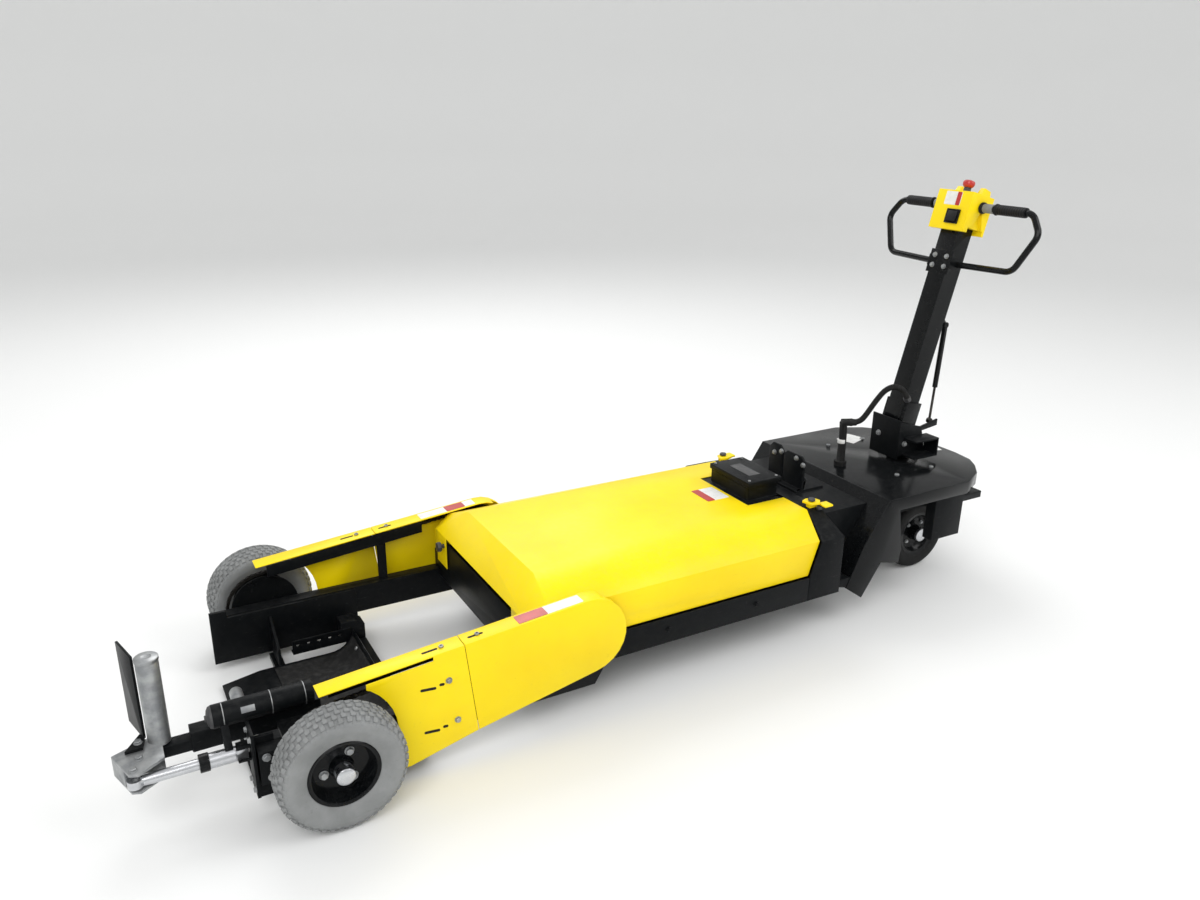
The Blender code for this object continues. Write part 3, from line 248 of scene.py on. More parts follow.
def grainGroup():
    # small relief, from orange peel in paint to the grain of rubber
    tree, taken, given = newGroup("grain", (("Scale", numberKind, 300.0), ("Wave", numberKind, 0.3)),
                                  (("Height", numberKind),))
    fine = noiseOf(tree, objectPlace(tree), taken.outputs["Scale"], 2.0)
    broad = noiseOf(tree, objectPlace(tree), 7.0, 2.0)
    tree.links.new(mathOf(tree, "ADD", fine, mathOf(tree, "MULTIPLY", broad, taken.outputs["Wave"])),
                   given.inputs["Height"])
    return tree


groups = {"mottle": coverGroup("mottle", "Light", "Dark", 4.0, None, cloudMask),
          "dust": coverGroup("dust", "Base", "Dust", 30.0, 0.2, dustMask),
          "scuff": coverGroup("scuff", "Base", "Worn", 9.0, 0.2, scuffMask), "grain": grainGroup()}


def groupNode(tree, name, values):
    node = tree.nodes.new("ShaderNodeGroup")
    node.node_tree = groups[name]
    for label, value in values.items():
        if isinstance(value, tuple):
            node.inputs[label].default_value = (*value, 1)
        elif isinstance(value, float):
            node.inputs[label].default_value = value
        else:
            tree.links.new(value, node.inputs[label])
    return node


def coatMaterial(name, settings):
    material = bpy.data.materials.new(name)
    material.use_nodes = True
    tree = material.node_tree
    shader = tree.nodes["Principled BSDF"]
    tone = groupNode(tree, "mottle", {"Light": settings["light"], "Dark": settings["dark"],
                                      "Scale": settings["cloud"]})
    worn = groupNode(tree, "scuff", {"Base": tone.outputs["Color"], "Worn": settings["worn"],
                                     "Amount": settings["scuff"], "Scale": settings["scuffScale"]})
    dusty = groupNode(tree, "dust", {"Base": worn.outputs["Color"], "Dust": settings["dust"],
                                     "Amount": settings["dustAmount"], "Scale": settings["dustScale"]})
    tree.links.new(dusty.outputs["Color"], shader.inputs["Base Color"])
    low, high = settings["rough"]
    rough = rangeOf(tree, tone.outputs["Mask"], 0.0, 1.0, low, high)
    dulled = mathOf(tree, "ADD", rough, mathOf(tree, "MULTIPLY", dusty.outputs["Mask"], settings["dulling"]),
                    True)
    tree.links.new(dulled, shader.inputs["Roughness"])
    grain = groupNode(tree, "grain", {"Scale": settings["grain"], "Wave": settings["wave"]})
    bump = tree.nodes.new("ShaderNodeBump")
    bump.inputs["Strength"].default_value = settings["bump"]
    bump.inputs["Distance"].default_value = settings["relief"]
    tree.links.new(grain.outputs["Height"], bump.inputs["Height"])
    tree.links.new(bump.outputs["Normal"], shader.inputs["Normal"])
    shader.inputs["Metallic"].default_value = settings["metallic"]
    shader.inputs["Coat Weight"].default_value = settings["coat"]
    shader.inputs["Coat Roughness"].default_value = settings["coatRough"]
    shader.inputs["Specular IOR Level"].default_value = settings["specular"]
    return material


plain = {"cloud": 3.0, "scuffScale": 9.0, "dustScale": 60.0, "dust": (0.35, 0.34, 0.32), "dulling": 0.35,
         "grain": 260.0, "wave": 0.2, "bump": 0.25, "relief": 0.0006, "metallic": 0.0, "coat": 0.0,
         "coatRough": 0.1, "specular": 0.5}
finishes = {
    "yellowPaint": {**plain, "light": (0.97, 0.74, 0.002), "dark": (0.91, 0.66, 0.002), "rough": (0.34, 0.46),
                    "worn": (0.66, 0.47, 0.01), "scuff": 0.25, "dustAmount": 0.07, "coat": 0.10,
                    "coatRough": 0.22, "specular": 0.22},
    "blackPaint": {**plain, "light": (0.0035, 0.0042, 0.005), "dark": (0.006, 0.0068, 0.0075),
                   "rough": (0.34, 0.48), "worn": (0.035, 0.035, 0.035), "scuff": 0.40,
                   "dust": (0.10, 0.10, 0.095), "dustAmount": 0.14, "bump": 0.35, "relief": 0.0007,
                   "specular": 0.085},
    "glossBlack": {**plain, "light": (0.003, 0.0036, 0.0042), "dark": (0.005, 0.0056, 0.006),
                   "rough": (0.16, 0.26), "worn": (0.03, 0.03, 0.03), "scuff": 0.30,
                   "dust": (0.09, 0.09, 0.085), "dustAmount": 0.09, "coat": 0.12, "coatRough": 0.10,
                   "grain": 180.0, "relief": 0.0005, "specular": 0.11},
    "greyRubber": {**plain, "light": (0.255, 0.262, 0.262), "dark": (0.20, 0.206, 0.206),
                   "rough": (0.78, 0.9), "worn": (0.12, 0.12, 0.115), "scuff": 0.45,
                   "dust": (0.14, 0.135, 0.13), "dustAmount": 0.3, "cloud": 14.0, "grain": 900.0, "bump": 0.3,
                   "specular": 0.3},
    "blackRubber": {**plain, "light": (0.009, 0.009, 0.009), "dark": (0.015, 0.015, 0.015),
                    "rough": (0.62, 0.8), "worn": (0.05, 0.05, 0.05), "scuff": 0.4,
                    "dust": (0.12, 0.12, 0.115), "dustAmount": 0.25, "cloud": 20.0, "grain": 1100.0,
                    "bump": 0.35, "specular": 0.18},
    "brightSteel": {**plain, "light": (0.60, 0.61, 0.63), "dark": (0.55, 0.56, 0.58), "rough": (0.26, 0.32),
                    "worn": (0.38, 0.38, 0.39), "scuff": 0.12, "dustAmount": 0.05, "metallic": 1.0,
                    "cloud": 40.0, "grain": 900.0, "wave": 0.0, "bump": 0.06, "relief": 0.0001},
    "zincSteel": {**plain, "light": (0.42, 0.43, 0.43), "dark": (0.27, 0.28, 0.29), "rough": (0.40, 0.58),
                  "worn": (0.20, 0.19, 0.18), "scuff": 0.3, "dustAmount": 0.18, "metallic": 0.85,
                  "cloud": 26.0, "grain": 700.0, "wave": 0.0, "bump": 0.15, "relief": 0.0002},
    "softGrip": {**plain, "light": (0.006, 0.006, 0.0065), "dark": (0.010, 0.010, 0.011),
                 "rough": (0.48, 0.62), "worn": (0.03, 0.03, 0.03), "scuff": 0.2, "dust": (0.10, 0.10, 0.10),
                 "dustAmount": 0.08, "specular": 0.2, "cloud": 30.0, "grain": 1600.0, "bump": 0.4},
    "redPlastic": {**plain, "light": (0.50, 0.018, 0.014), "dark": (0.40, 0.012, 0.010),
                   "rough": (0.28, 0.36), "worn": (0.30, 0.03, 0.03), "scuff": 0.2, "dustAmount": 0.1,
                   "cloud": 30.0, "coat": 0.3},
    "whiteLabel": {**plain, "light": (0.80, 0.80, 0.78), "dark": (0.70, 0.70, 0.68), "rough": (0.35, 0.45),
                   "worn": (0.45, 0.44, 0.42), "scuff": 0.3, "dustAmount": 0.2, "cloud": 30.0},
    "oiledSteel": {**plain, "light": (0.045, 0.042, 0.038), "dark": (0.02, 0.018, 0.016),
                   "rough": (0.30, 0.50), "worn": (0.22, 0.21, 0.20), "scuff": 0.5, "dustAmount": 0.15,
                   "metallic": 0.9, "cloud": 60.0, "grain": 800.0},
    "darkCasing": {**plain, "light": (0.045, 0.046, 0.048), "dark": (0.03, 0.03, 0.032), "rough": (0.5, 0.62),
                   "worn": (0.12, 0.12, 0.12), "scuff": 0.2, "dustAmount": 0.25, "grain": 500.0},
}
looks = {name: coatMaterial(name, settings) for name, settings in finishes.items()}
print("materials are made:", len(looks))


# modelling helpers
def deselectAll():
    if bpy.context.mode != "OBJECT":
        bpy.ops.object.mode_set(mode="OBJECT")
    bpy.ops.object.select_all(action="DESELECT")


def chosen(piece):
    deselectAll()
    piece.select_set(True)
    bpy.context.view_layer.objects.active = piece


def settled(piece):
    chosen(piece)
    bpy.ops.object.transform_apply(location=True, rotation=True, scale=True)
    return piece


def smoothed(piece, angle=32):
    chosen(piece)
    bpy.ops.object.shade_smooth_by_angle(angle=math.radians(angle))
    return piece


def bevelled(piece, width, segments):
    chosen(piece)
    bevel = piece.modifiers.new("Bevel", "BEVEL")
    bevel.width, bevel.segments = width, segments
    bevel.limit_method, bevel.angle_limit = "ANGLE", math.radians(30)
    bevel.use_clamp_overlap = True
    bpy.ops.object.modifier_apply(modifier=bevel.name)
    return piece


def placed(piece, middle, along):
    # a piece modelled round Z at the origin is laid along a direction
    piece.rotation_mode = "QUATERNION"
    piece.rotation_quaternion = Vector(along).to_track_quat("Z", "Y")
    piece.location = middle
    return settled(piece)


def block(low, high, width, segments=2):
    low, high = Vector(low), Vector(high)
    deselectAll()
    bpy.ops.mesh.primitive_cube_add(size=1, location=(low + high) / 2)
    piece = bpy.context.object
    piece.scale = high - low
    settled(piece)
    return bevelled(piece, width, segments) if width else piece


def turned(rings, count=24, shut=True):
    # rings are (radius, height) pairs; each one is extruded from the last
    deselectAll()
    radius, height = rings[0]
    bpy.ops.mesh.primitive_circle_add(vertices=count, radius=radius, location=(0, 0, height),
                                      fill_type="NGON" if shut else "NOTHING")
    piece = settled(bpy.context.object)
    bpy.ops.object.mode_set(mode="EDIT")
    bpy.ops.mesh.select_mode(type="VERT")
    bpy.ops.mesh.select_all(action="SELECT")
    for nextRadius, nextHeight in rings[1:]:
        bpy.ops.mesh.extrude_region_move(TRANSFORM_OT_translate={"value": (0, 0, nextHeight - height)})
        share = nextRadius / radius
        bpy.ops.transform.resize(value=(share, share, 1), center_override=(0, 0, nextHeight))
        radius, height = nextRadius, nextHeight
    if not shut:
        bpy.ops.mesh.select_all(action="DESELECT")
        bpy.ops.mesh.select_non_manifold()
        bpy.ops.mesh.bridge_edge_loops()
    bpy.ops.mesh.select_all(action="SELECT")
    bpy.ops.mesh.remove_doubles(threshold=0.000001)
    bpy.ops.mesh.normals_make_consistent(inside=False)
    bpy.ops.object.mode_set(mode="OBJECT")
    return piece


def lathed(rings, count, middle, along, angle=34, shut=True):
    return smoothed(placed(turned(rings, count, shut), middle, along), angle)


def copiesOf(source, turns):
    # copies of the source, one for each turn, each with a mesh of its own, joined as one piece; the source itself
    # is removed
    made = []
    for turn in turns:
        twin = source.copy()
        twin.data = source.data.copy()
        bpy.context.collection.objects.link(twin)
        twin.matrix_world = turn @ source.matrix_world
        made.append(twin)
    bpy.data.objects.remove(source, do_unlink=True)
    return joined(made)


def joined(pieces):
    deselectAll()
    for piece in pieces:
        piece.select_set(True)
    bpy.context.view_layer.objects.active = pieces[0]
    if len(pieces) > 1:
        bpy.ops.object.join()
    return settled(bpy.context.view_layer.objects.active)


def turnAbout(middle, angle):
    return Matrix.Translation(middle) @ Matrix.Rotation(angle, 4, "Y") @ Matrix.Translation(-Vector(middle))


def given(piece, name, look, body, slot, stands=()):
    piece.name = name
    piece.data.name = name
    piece.data.materials.clear()
    piece.data.materials.append(looks[look])
    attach(piece, body)
    if stands:
        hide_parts(*stands)
    return piece


bodyOf = {node: body for body, members in frame["record"]["behaviour"]["bodies"].items() for node in members}
slotOf = {part["node"]: part["material_slot"] for part in frame["record"]["subparts"]}


easeSet = {"merge": 0.00002, "flat": 0.6, "smooth": 34}


def softened(node, look, width, segments):
    # the CAD node again, its edges eased so that they catch the light
    source = nodes[node]
    piece = source.copy()
    piece.data = source.data.copy()
    bpy.context.collection.objects.link(piece)
    piece.parent = None
    piece.matrix_world = Matrix.Identity(4)
    for key in list(piece.keys()):
        del piece[key]
    chosen(piece)
    bpy.ops.object.mode_set(mode="EDIT")
    bpy.ops.mesh.select_all(action="SELECT")
    bpy.ops.mesh.remove_doubles(threshold=easeSet["merge"])
    bpy.ops.mesh.dissolve_limited(angle_limit=math.radians(easeSet["flat"]))
    bpy.ops.object.mode_set(mode="OBJECT")
    if width:
        bevelled(piece, width, segments)
    smoothed(piece, easeSet["smooth"])
    words = node.split("_")
    label = words[0] + "".join(word.title() for word in words[1:]) + "Shell"
    return given(piece, label, look, bodyOf[node], slotOf[node], (node,))


# painted sheet, plates and tubes: the CAD shapes with eased edges
shellSet = (
    ("battery_hood", "yellowPaint", 0.0012, 2), ("charger_box", "blackPaint", 0.003, 3),
    ("chain_guard_front_{}", "yellowPaint", 0.0010, 2), ("chain_guard_rear_{}", "yellowPaint", 0.0010, 2),
    ("chassis_pan", "blackPaint", 0.0015, 2), ("battery_pack", "darkCasing", 0.004, 2),
    ("rear_bulkhead", "blackPaint", 0.0015, 2), ("hood_latch_{}", "yellowPaint", 0.0008, 2),
    ("neck_frame", "blackPaint", 0.0014, 2), ("rear_hood", "glossBlack", 0.0014, 2),
    ("rear_frame", "blackPaint", 0.0020, 2), ("frame_rail_{}", "blackPaint", 0.0018, 2),
    ("cradle_tray", "blackPaint", 0.0012, 2), ("cradle_pad", "blackRubber", 0.0010, 2),
    ("cradle_roller", "zincSteel", 0.0015, 2), ("chock_rack_{}", "blackPaint", 0.0008, 2),
    ("front_rim_{}", "glossBlack", 0.0, 0), ("drive_transaxle", "darkCasing", 0.0015, 2),
    ("steering_yoke", "blackPaint", 0.0020, 2), ("tiller_bracket", "blackPaint", 0.0014, 2),
    ("rear_wheel_hubs", "glossBlack", 0.0, 0), ("tiller_tube", "glossBlack", 0.0025, 3),
    ("handle_loop", "glossBlack", 0.0, 0), ("control_head", "yellowPaint", 0.0022, 3),
    ("gas_spring_cylinder", "glossBlack", 0.0, 0), ("gas_spring_rod", "oiledSteel", 0.0, 0),
    ("gate_beam", "blackPaint", 0.0018, 2), ("gate_head", "zincSteel", 0.0010, 2),
    ("gate_guard_plate", "blackPaint", 0.0008, 2), ("actuator_tube", "brightSteel", 0.0008, 2),
    ("actuator_motor", "blackPaint", 0.0018, 2), ("actuator_rod", "brightSteel", 0.0, 0),
    ("actuator_mount", "blackPaint", 0.0010, 2), ("cable_gland", "blackRubber", 0.0, 0),
)
for pattern, look, width, segments in shellSet:
    for node in dict.fromkeys(pattern.format(side) for side, s in sides):
        softened(node, look, width, segments)
print("shells are eased")

# the corrugated control cable: up out of the gland, over to the bracket and on to the tube
cableSet = {"route": ((1.9800, -0.0111, 0.5745), (1.9950, -0.0177, 0.5745), (2.0150, -0.0245, 0.581),
                      (2.0320, -0.027, 0.597), (2.0460, -0.032, 0.620), (2.0650, -0.042, 0.656),
                      (2.0890, -0.050, 0.686), (2.1200, -0.056, 0.698), (2.1550, -0.059, 0.690),
                      (2.1840, -0.059, 0.666), (2.2020, -0.059, 0.636)),
            "radius": 0.0105, "valley": 0.0011, "drops": (0.0, 0.55, 1.0, 0.55), "pitch": 0.0032,
            "around": 20, "spacing": 0.012, "fine": 24, "cut": 2.120, "gap": 0.0003}


def smoothLine(route, spacing, fineSteps):
    # points at an even spacing along a smooth curve through the route's own points
    route = [Vector(place) for place in route]
    ends = [route[0] * 2 - route[1]] + route + [route[-1] * 2 - route[-2]]
    fine = []
    for a, b, c, d in zip(ends, ends[1:], ends[2:], ends[3:]):
        for i in range(fineSteps):
            t = i / fineSteps
            fine.append(((b * 2) + (c - a) * t + (a * 2 - b * 5 + c * 4 - d) * t ** 2
                         + (b * 3 - a - c * 3 + d) * t ** 3) / 2)
    return evenly(fine + [route[-1]], spacing)


def evenly(fine, spacing):
    lengths = [0]
    for a, b in zip(fine, fine[1:]):
        lengths.append(lengths[-1] + (b - a).length)
    count = max(2, round(lengths[-1] / spacing))
    points = []
    for i in range(count + 1):
        want = lengths[-1] * i / count
        j = next(k for k in range(1, len(lengths)) if lengths[k] >= want - 1e-9)
        share = (want - lengths[j - 1]) / (lengths[j] - lengths[j - 1])
        points.append(fine[j - 1].lerp(fine[j], share))
    return points


def lineLength(points):
    return sum((b - a).length for a, b in zip(points, points[1:]))


def corrugated(name, points, settings):
    stations = evenly(points, settings["pitch"] / len(settings["drops"]))
    around = settings["around"]
    side = (stations[1] - stations[0]).normalized().orthogonal().normalized()
    corners, faces = [], []
    for i, middle in enumerate(stations):
        ahead = (stations[min(i + 1, len(stations) - 1)] - stations[max(i - 1, 0)]).normalized()
        side = (side - ahead * side.dot(ahead)).normalized()
        up = ahead.cross(side)
        radius = settings["radius"] - settings["valley"] * settings["drops"][i % len(settings["drops"])]
        for j in range(around):
            angle = 2 * math.pi * j / around
            corners.append(middle + (side * math.cos(angle) + up * math.sin(angle)) * radius)
        if i:
            base, last = i * around, (i - 1) * around
            for j in range(around):
                k = (j + 1) % around
                faces.append((last + j, last + k, base + k, base + j))
    faces += [tuple(range(around - 1, -1, -1)), tuple(range(len(corners) - around, len(corners)))]
    mesh = bpy.data.meshes.new(name)
    mesh.from_pydata(corners, [], faces)
    piece = bpy.data.objects.new(name, mesh)
    bpy.context.collection.objects.link(piece)
    return smoothed(piece, 60)


def addCable(settings):
    points = [spot(*place) for place in smoothLine(settings["route"], settings["spacing"], settings["fine"])]
    cut = next(i for i, place in enumerate(points) if place.x > settings["cut"] + axleX)
    onward = (points[cut] - points[cut - 1]).normalized()
    lower, upper = points[:cut + 1], [points[cut] + onward * settings["gap"]] + points[cut + 1:]
    for name, line, first, second, node in (
            ("controlCableLower", lower, "chassis", "steering", "control_cable_lower"),
            ("controlCableUpper", upper, "steering", "tiller", "control_cable_upper")):
        piece = given(corrugated(name, line, settings), name, "blackRubber", first, "rubber", (node,))
        piece.parent = None
        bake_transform(piece)
    return points


cablePoints = addCable(cableSet)
print("control cable is laid:", round(lineLength(cablePoints), 3), "m")


# finding the surface that a fitting sits on
surfaces = {}


def landing(node, start, aim):
    # where a line from start meets a CAD node, and the way that its face looks
    if node not in surfaces:
        source = nodes[node].data
        surfaces[node] = BVHTree.FromPolygons([corner.co.copy() for corner in source.vertices],
                                              [tuple(face.vertices) for face in source.polygons])
    place, normal, _, _ = surfaces[node].ray_cast(spot(*start), Vector(aim).normalized())
    if place is None:
        raise ValueError(f"nothing of {node} lies along {start}")
    return place, normal if normal.dot(Vector(aim)) < 0 else -normal


def laidOut(source, seats):
    # a fitting modelled round Z at the origin, once for each (place, along)
    return copiesOf(source,
                    [Matrix.Translation(place) @ Vector(along).to_track_quat("Z", "Y").to_matrix().to_4x4()
                             for place, along in seats])


def hexBolt(size):
    # washer, hexagon head with a chamfered crown
    washer = turned([(size * 1.12, -0.0004), (size * 1.12, size * 0.16), (size * 1.04, size * 0.22)], 24)
    head = turned([(size * 0.92, size * 0.18), (size * 0.92, size * 0.70), (size * 0.80, size * 0.84),
                   (size * 0.45, size * 0.86)], 6)
    return smoothed(joined([washer, head]), 30)


def capScrew(size):
    # round head with a sunk socket
    head = turned([(size * 0.96, -0.0004), (size, size * 0.12), (size, size * 0.62),
                   (size * 0.86, size * 0.80), (size * 0.52, size * 0.82), (size * 0.50, size * 0.40)], 20)
    return smoothed(head, 35)


# bolts and screws, each standing on the part that it holds
inward, down, onward = (0, -1, 0), (0, 0, -1), (1, 0, 0)
boltBase = {"make": hexBolt, "look": "zincSteel", "body": "chassis", "slot": "steel", "mirrored": True}
boltSets = {
    "guardBolts": {**boltBase, "size": 0.0078, "seats": (
        ("chain_guard_front_{}", (0.300, 0.8, 0.255), inward),
        ("chain_guard_front_{}", (0.319, 0.8, 0.132), inward))},
    "stripBolts": {**boltBase, "make": capScrew, "size": 0.0066, "seats": (
        ("chain_guard_front_{}", (0.293, 0.3775, 0.6), down),
        ("chain_guard_rear_{}", (0.390, 0.3775, 0.6), down))},
    "railBolts": {**boltBase, "size": 0.0095, "seats": (
        ("frame_rail_{}", (-0.148, 0.8, 0.166), inward), ("frame_rail_{}", (-0.140, 0.8, 0.108), inward))},
    "rearHoodBolts": {**boltBase, "make": capScrew, "size": 0.0080, "seats": (
        ("rear_hood", (2.064, 0.176, 0.8), down), ("rear_hood", (2.234, 0.175, 0.8), down))},
    "chargerScrews": {**boltBase, "make": capScrew, "size": 0.0046, "seats": (
        ("charger_box", (1.472, 0.094, 0.8), down), ("charger_box", (1.584, 0.094, 0.8), down))},
    "panBolts": {**boltBase, "look": "blackPaint", "slot": "black", "size": 0.0080, "seats": (
        ("chassis_pan", (0.980, 0.8, 0.200), inward), ("chassis_pan", (1.300, 0.8, 0.200), inward))},
    "padScrews": {**boltBase, "make": capScrew, "size": 0.0062, "seats": (
        ("cradle_pad", (0.210, 0.150, 0.6), down),)},
    "neckBolts": {**boltBase, "size": 0.0085, "seats": (
        ("neck_frame", (1.2, 0.076, 0.478), onward), ("neck_frame", (1.2, 0.040, 0.492), onward))},
    "bracketBolts": {**boltBase, "mirrored": False, "body": "steering", "size": 0.0095, "seats": (
        ("tiller_bracket", (1.6, 0.030, 0.495), onward), ("tiller_bracket", (2.200, -0.6, 0.475),
                                                          (0, 1, 0)))},
    "gateBolts": {**boltBase, "mirrored": False, "body": "gate", "slot": "galvanised", "size": 0.0090,
                  "seats": (
        ("gate_head", (-0.412, -0.290, 0.6), down), ("gate_head", (-0.427, -0.330, 0.6), down),
        ("gate_guard_plate", (-0.408, -0.240, 0.6), down))},
    "mountBolts": {**boltBase, "mirrored": False, "size": 0.0075, "seats": (
        ("actuator_mount", (-0.8, -0.362, 0.215), onward), ("actuator_mount", (-0.8, -0.314, 0.215), onward),
        ("actuator_mount", (-0.8, -0.362, 0.075), onward), ("actuator_mount", (-0.8, -0.314, 0.075),
                                                            onward))},
}
for name, settings in boltSets.items():
    seats = []
    for node, (x, y, z), aim in settings["seats"]:
        for side, s in sides if settings["mirrored"] else (("", 1),):
            seats.append(landing(node.format(side), (x, s * y, z), (aim[0], s * aim[1], aim[2])))
    given(laidOut(settings["make"](settings["size"]), seats), name, settings["look"], settings["body"],
          settings["slot"])

# hand knobs on the hood's front, and its latches' knobs and hooks
knobSet = {"radius": 0.0165, "reach": 0.024, "lobes": 5, "scallop": 0.09, "seat": (0.2, 0.270, 0.290)}


def handKnob(settings):
    # stem, scalloped grip, shallow crown
    radius, reach = settings["radius"], settings["reach"]
    stem = turned([(radius * 0.42, -0.001), (radius * 0.42, reach * 0.45)], 20)
    grip = turned([(radius * 0.78, reach * 0.40), (radius * 0.98, reach * 0.48), (radius, reach * 0.80),
                   (radius * 0.90, reach * 0.95), (radius * 0.40, reach)], 40)
    for corner in grip.data.vertices:
        angle = math.atan2(corner.co.y, corner.co.x)
        corner.co.xy *= 1.0 - settings["scallop"] * (0.5 - 0.5 * math.cos(settings["lobes"] * angle))
    return smoothed(joined([stem, grip]), 40)


x, y, z = knobSet["seat"]
hoodSeats = [landing("battery_hood", (x, s * y, z), onward) for side, s in sides]
given(laidOut(handKnob(knobSet), hoodSeats), "hoodKnobs", "darkCasing", "chassis", "black")
latchSet = {"x": 1.614, "y": 0.241, "probeX": 1.570,
            "rings": ((0.0060, 0.0195), (0.0060, 0.0225), (0.0115, 0.0230), (0.0122, 0.0262),
                      (0.0104, 0.0300), (0.0050, 0.0310)),
            "hook": (1.631, 0.262), "foot": (0.018, 0.014, 0.0085), "lobe": (0.036, 0.036, 0.0075),
            "reach": 0.026}
latchSeats = []
for side, s in sides:
    place, _ = landing("battery_hood", (latchSet["probeX"], s * latchSet["y"], 0.6), down)
    latchSeats.append((Vector((axleX + latchSet["x"], place.y, place.z)), zAxis))
given(laidOut(smoothed(turned(latchSet["rings"], 28), 35), latchSeats), "latchKnobs", "darkCasing", "chassis",
      "black")
for side, s in sides:
    place, _ = landing("rear_bulkhead", (latchSet["hook"][0], s * latchSet["hook"][1], 0.8), down)
    long, wide, thick = latchSet["foot"]
    foot = block(place - Vector((long / 2, wide / 2, 0.0005)), place + Vector((long / 2, wide / 2, thick)),
                 0.0015, 2)
    long, wide, thick = latchSet["lobe"]
    middle = place + Vector((latchSet["reach"], 0, 0.0080))
    lobe = block(middle - Vector((long / 2, wide / 2, 0)), middle + Vector((long / 2, wide / 2, thick)),
                 0.0035, 3)
    given(smoothed(foot, 32), f"latchFoot{side.title()}", "darkCasing", "chassis", "black")
    given(smoothed(lobe, 32), f"latchHook{side.title()}", "yellowPaint", "chassis", "yellow")
print("bolts and knobs are fitted")


# blank plates and stickers
def sticker(width, length, proud=0.0005, corner=0.003):
    # thin sheet round Z at the origin with rounded corners; its long way is X
    piece = block((-length / 2, -width / 2, -0.0002), (length / 2, width / 2, proud), 0)
    chosen(piece)
    bpy.ops.object.mode_set(mode="EDIT")
    bpy.ops.mesh.select_mode(type="EDGE")
    bpy.ops.mesh.select_all(action="DESELECT")
    bpy.ops.object.mode_set(mode="OBJECT")
    for edge in piece.data.edges:
        a, b = (piece.data.vertices[i].co for i in edge.vertices)
        edge.select = abs(a.z - b.z) > 1e-6
    bpy.ops.object.mode_set(mode="EDIT")
    bpy.ops.mesh.bevel(offset=corner, segments=4, affect="EDGES")
    bpy.ops.object.mode_set(mode="OBJECT")
    return piece


def stuck(source, place, normal, heading=0.0):
    # laid on a face, its X turned by heading from the machine's own X or Y
    normal = Vector(normal).normalized()
    base = xAxis if abs(normal.x) < 0.9 else yAxis
    ahead = (base - normal * base.dot(normal)).normalized()
    ahead.rotate(Matrix.Rotation(math.radians(heading), 3, normal))
    turn = Matrix((ahead, normal.cross(ahead), normal)).transposed().to_4x4()
    source.matrix_world = Matrix.Translation(place) @ turn
    return settled(source)


# node, place, width, length, how proud, heading, look
labelSets = {
    "hoodLabel": ("battery_hood", (1.385, 0.000), 0.100, 0.085, 0.0005, 0, "whiteLabel"),
    "hoodLabelBand": ("battery_hood", (1.357, 0.000), 0.100, 0.029, 0.0009, 0, "redPlastic"),
    "stripLabelRight": ("chain_guard_rear_right", (0.595, -0.3775), 0.040, 0.190, 0.0005, 0, "whiteLabel"),
    "stripBandRight": ("chain_guard_rear_right", (0.542, -0.3775), 0.040, 0.084, 0.0009, 0, "redPlastic"),
    "stripLabelLeft": ("chain_guard_rear_left", (0.595, 0.3775), 0.040, 0.190, 0.0005, 0, "whiteLabel"),
    "stripBandLeft": ("chain_guard_rear_left", (0.622, 0.3775), 0.040, 0.064, 0.0009, 0, "redPlastic"),
    "rearHoodLabelFar": ("rear_hood", (2.200, 0.200), 0.075, 0.090, 0.0005, 18, "whiteLabel"),
    "rearHoodLabelNear": ("rear_hood", (2.405, -0.020), 0.072, 0.046, 0.0005, -14, "whiteLabel"),
    "chargerLabel": ("charger_box", (1.525, 0.000), 0.110, 0.045, 0.0005, 0, "darkCasing"),
}
for name, (node, (x, y), width, length, proud, heading, look) in labelSets.items():
    place, normal = landing(node, (x, y, 0.8), down)
    given(stuck(sticker(width, length, proud), place, normal, heading), name, look, "chassis", "steel")

# the guards' adjusting slots as painted shade: a thin black inlay on the face where each slot's shaded opening is,
# a long and a short one beside each side bolt, and two along each strip
slotShadeSet = {"long": 0.042, "short": 0.014, "width": 0.0078, "proud": 0.0004, "round": 0.47, "slope": 5.3,
           "side": ((0.245, 0.245), (0.2495, 0.119)), "step": (0.036, 0.0035), "stripY": 0.3775,
           "strip": (("chain_guard_front_{}", 0.262), ("chain_guard_rear_{}", 0.385))}


def slotShadeInlay(name, length, node, start, aim, heading=0.0):
    # painted shade: a thin black sheet laid on the face in place of a slot's dark opening; no hole is cut
    place, normal = landing(node, start, aim)
    inlay = sticker(slotShadeSet["width"], length, slotShadeSet["proud"], slotShadeSet["width"] * slotShadeSet["round"])
    return given(stuck(inlay, place, normal, heading), name, "blackRubber", "chassis", "black")


for i, (x, z) in enumerate(slotShadeSet["side"]):
    for side, s in sides:
        node, slope = f"chain_guard_front_{side}", slotShadeSet["slope"] * s
        stepX, stepZ = slotShadeSet["step"]
        slotShadeInlay(f"guardSlotShade{side.title()}{i + 1}", slotShadeSet["long"], node, (x, s * 0.8, z), (0, -s, 0), slope)
        slotShadeInlay(f"guardSlitShade{side.title()}{i + 1}", slotShadeSet["short"], node, (x + stepX, s * 0.8, z + stepZ),
                (0, -s, 0), slope)
for i, (node, x) in enumerate(slotShadeSet["strip"]):
    for side, s in sides:
        slotShadeInlay(f"stripSlotShade{side.title()}{i + 1}", slotShadeSet["long"], node.format(side),
                (x, s * slotShadeSet["stripY"], 0.8), down)
print("labels are laid")

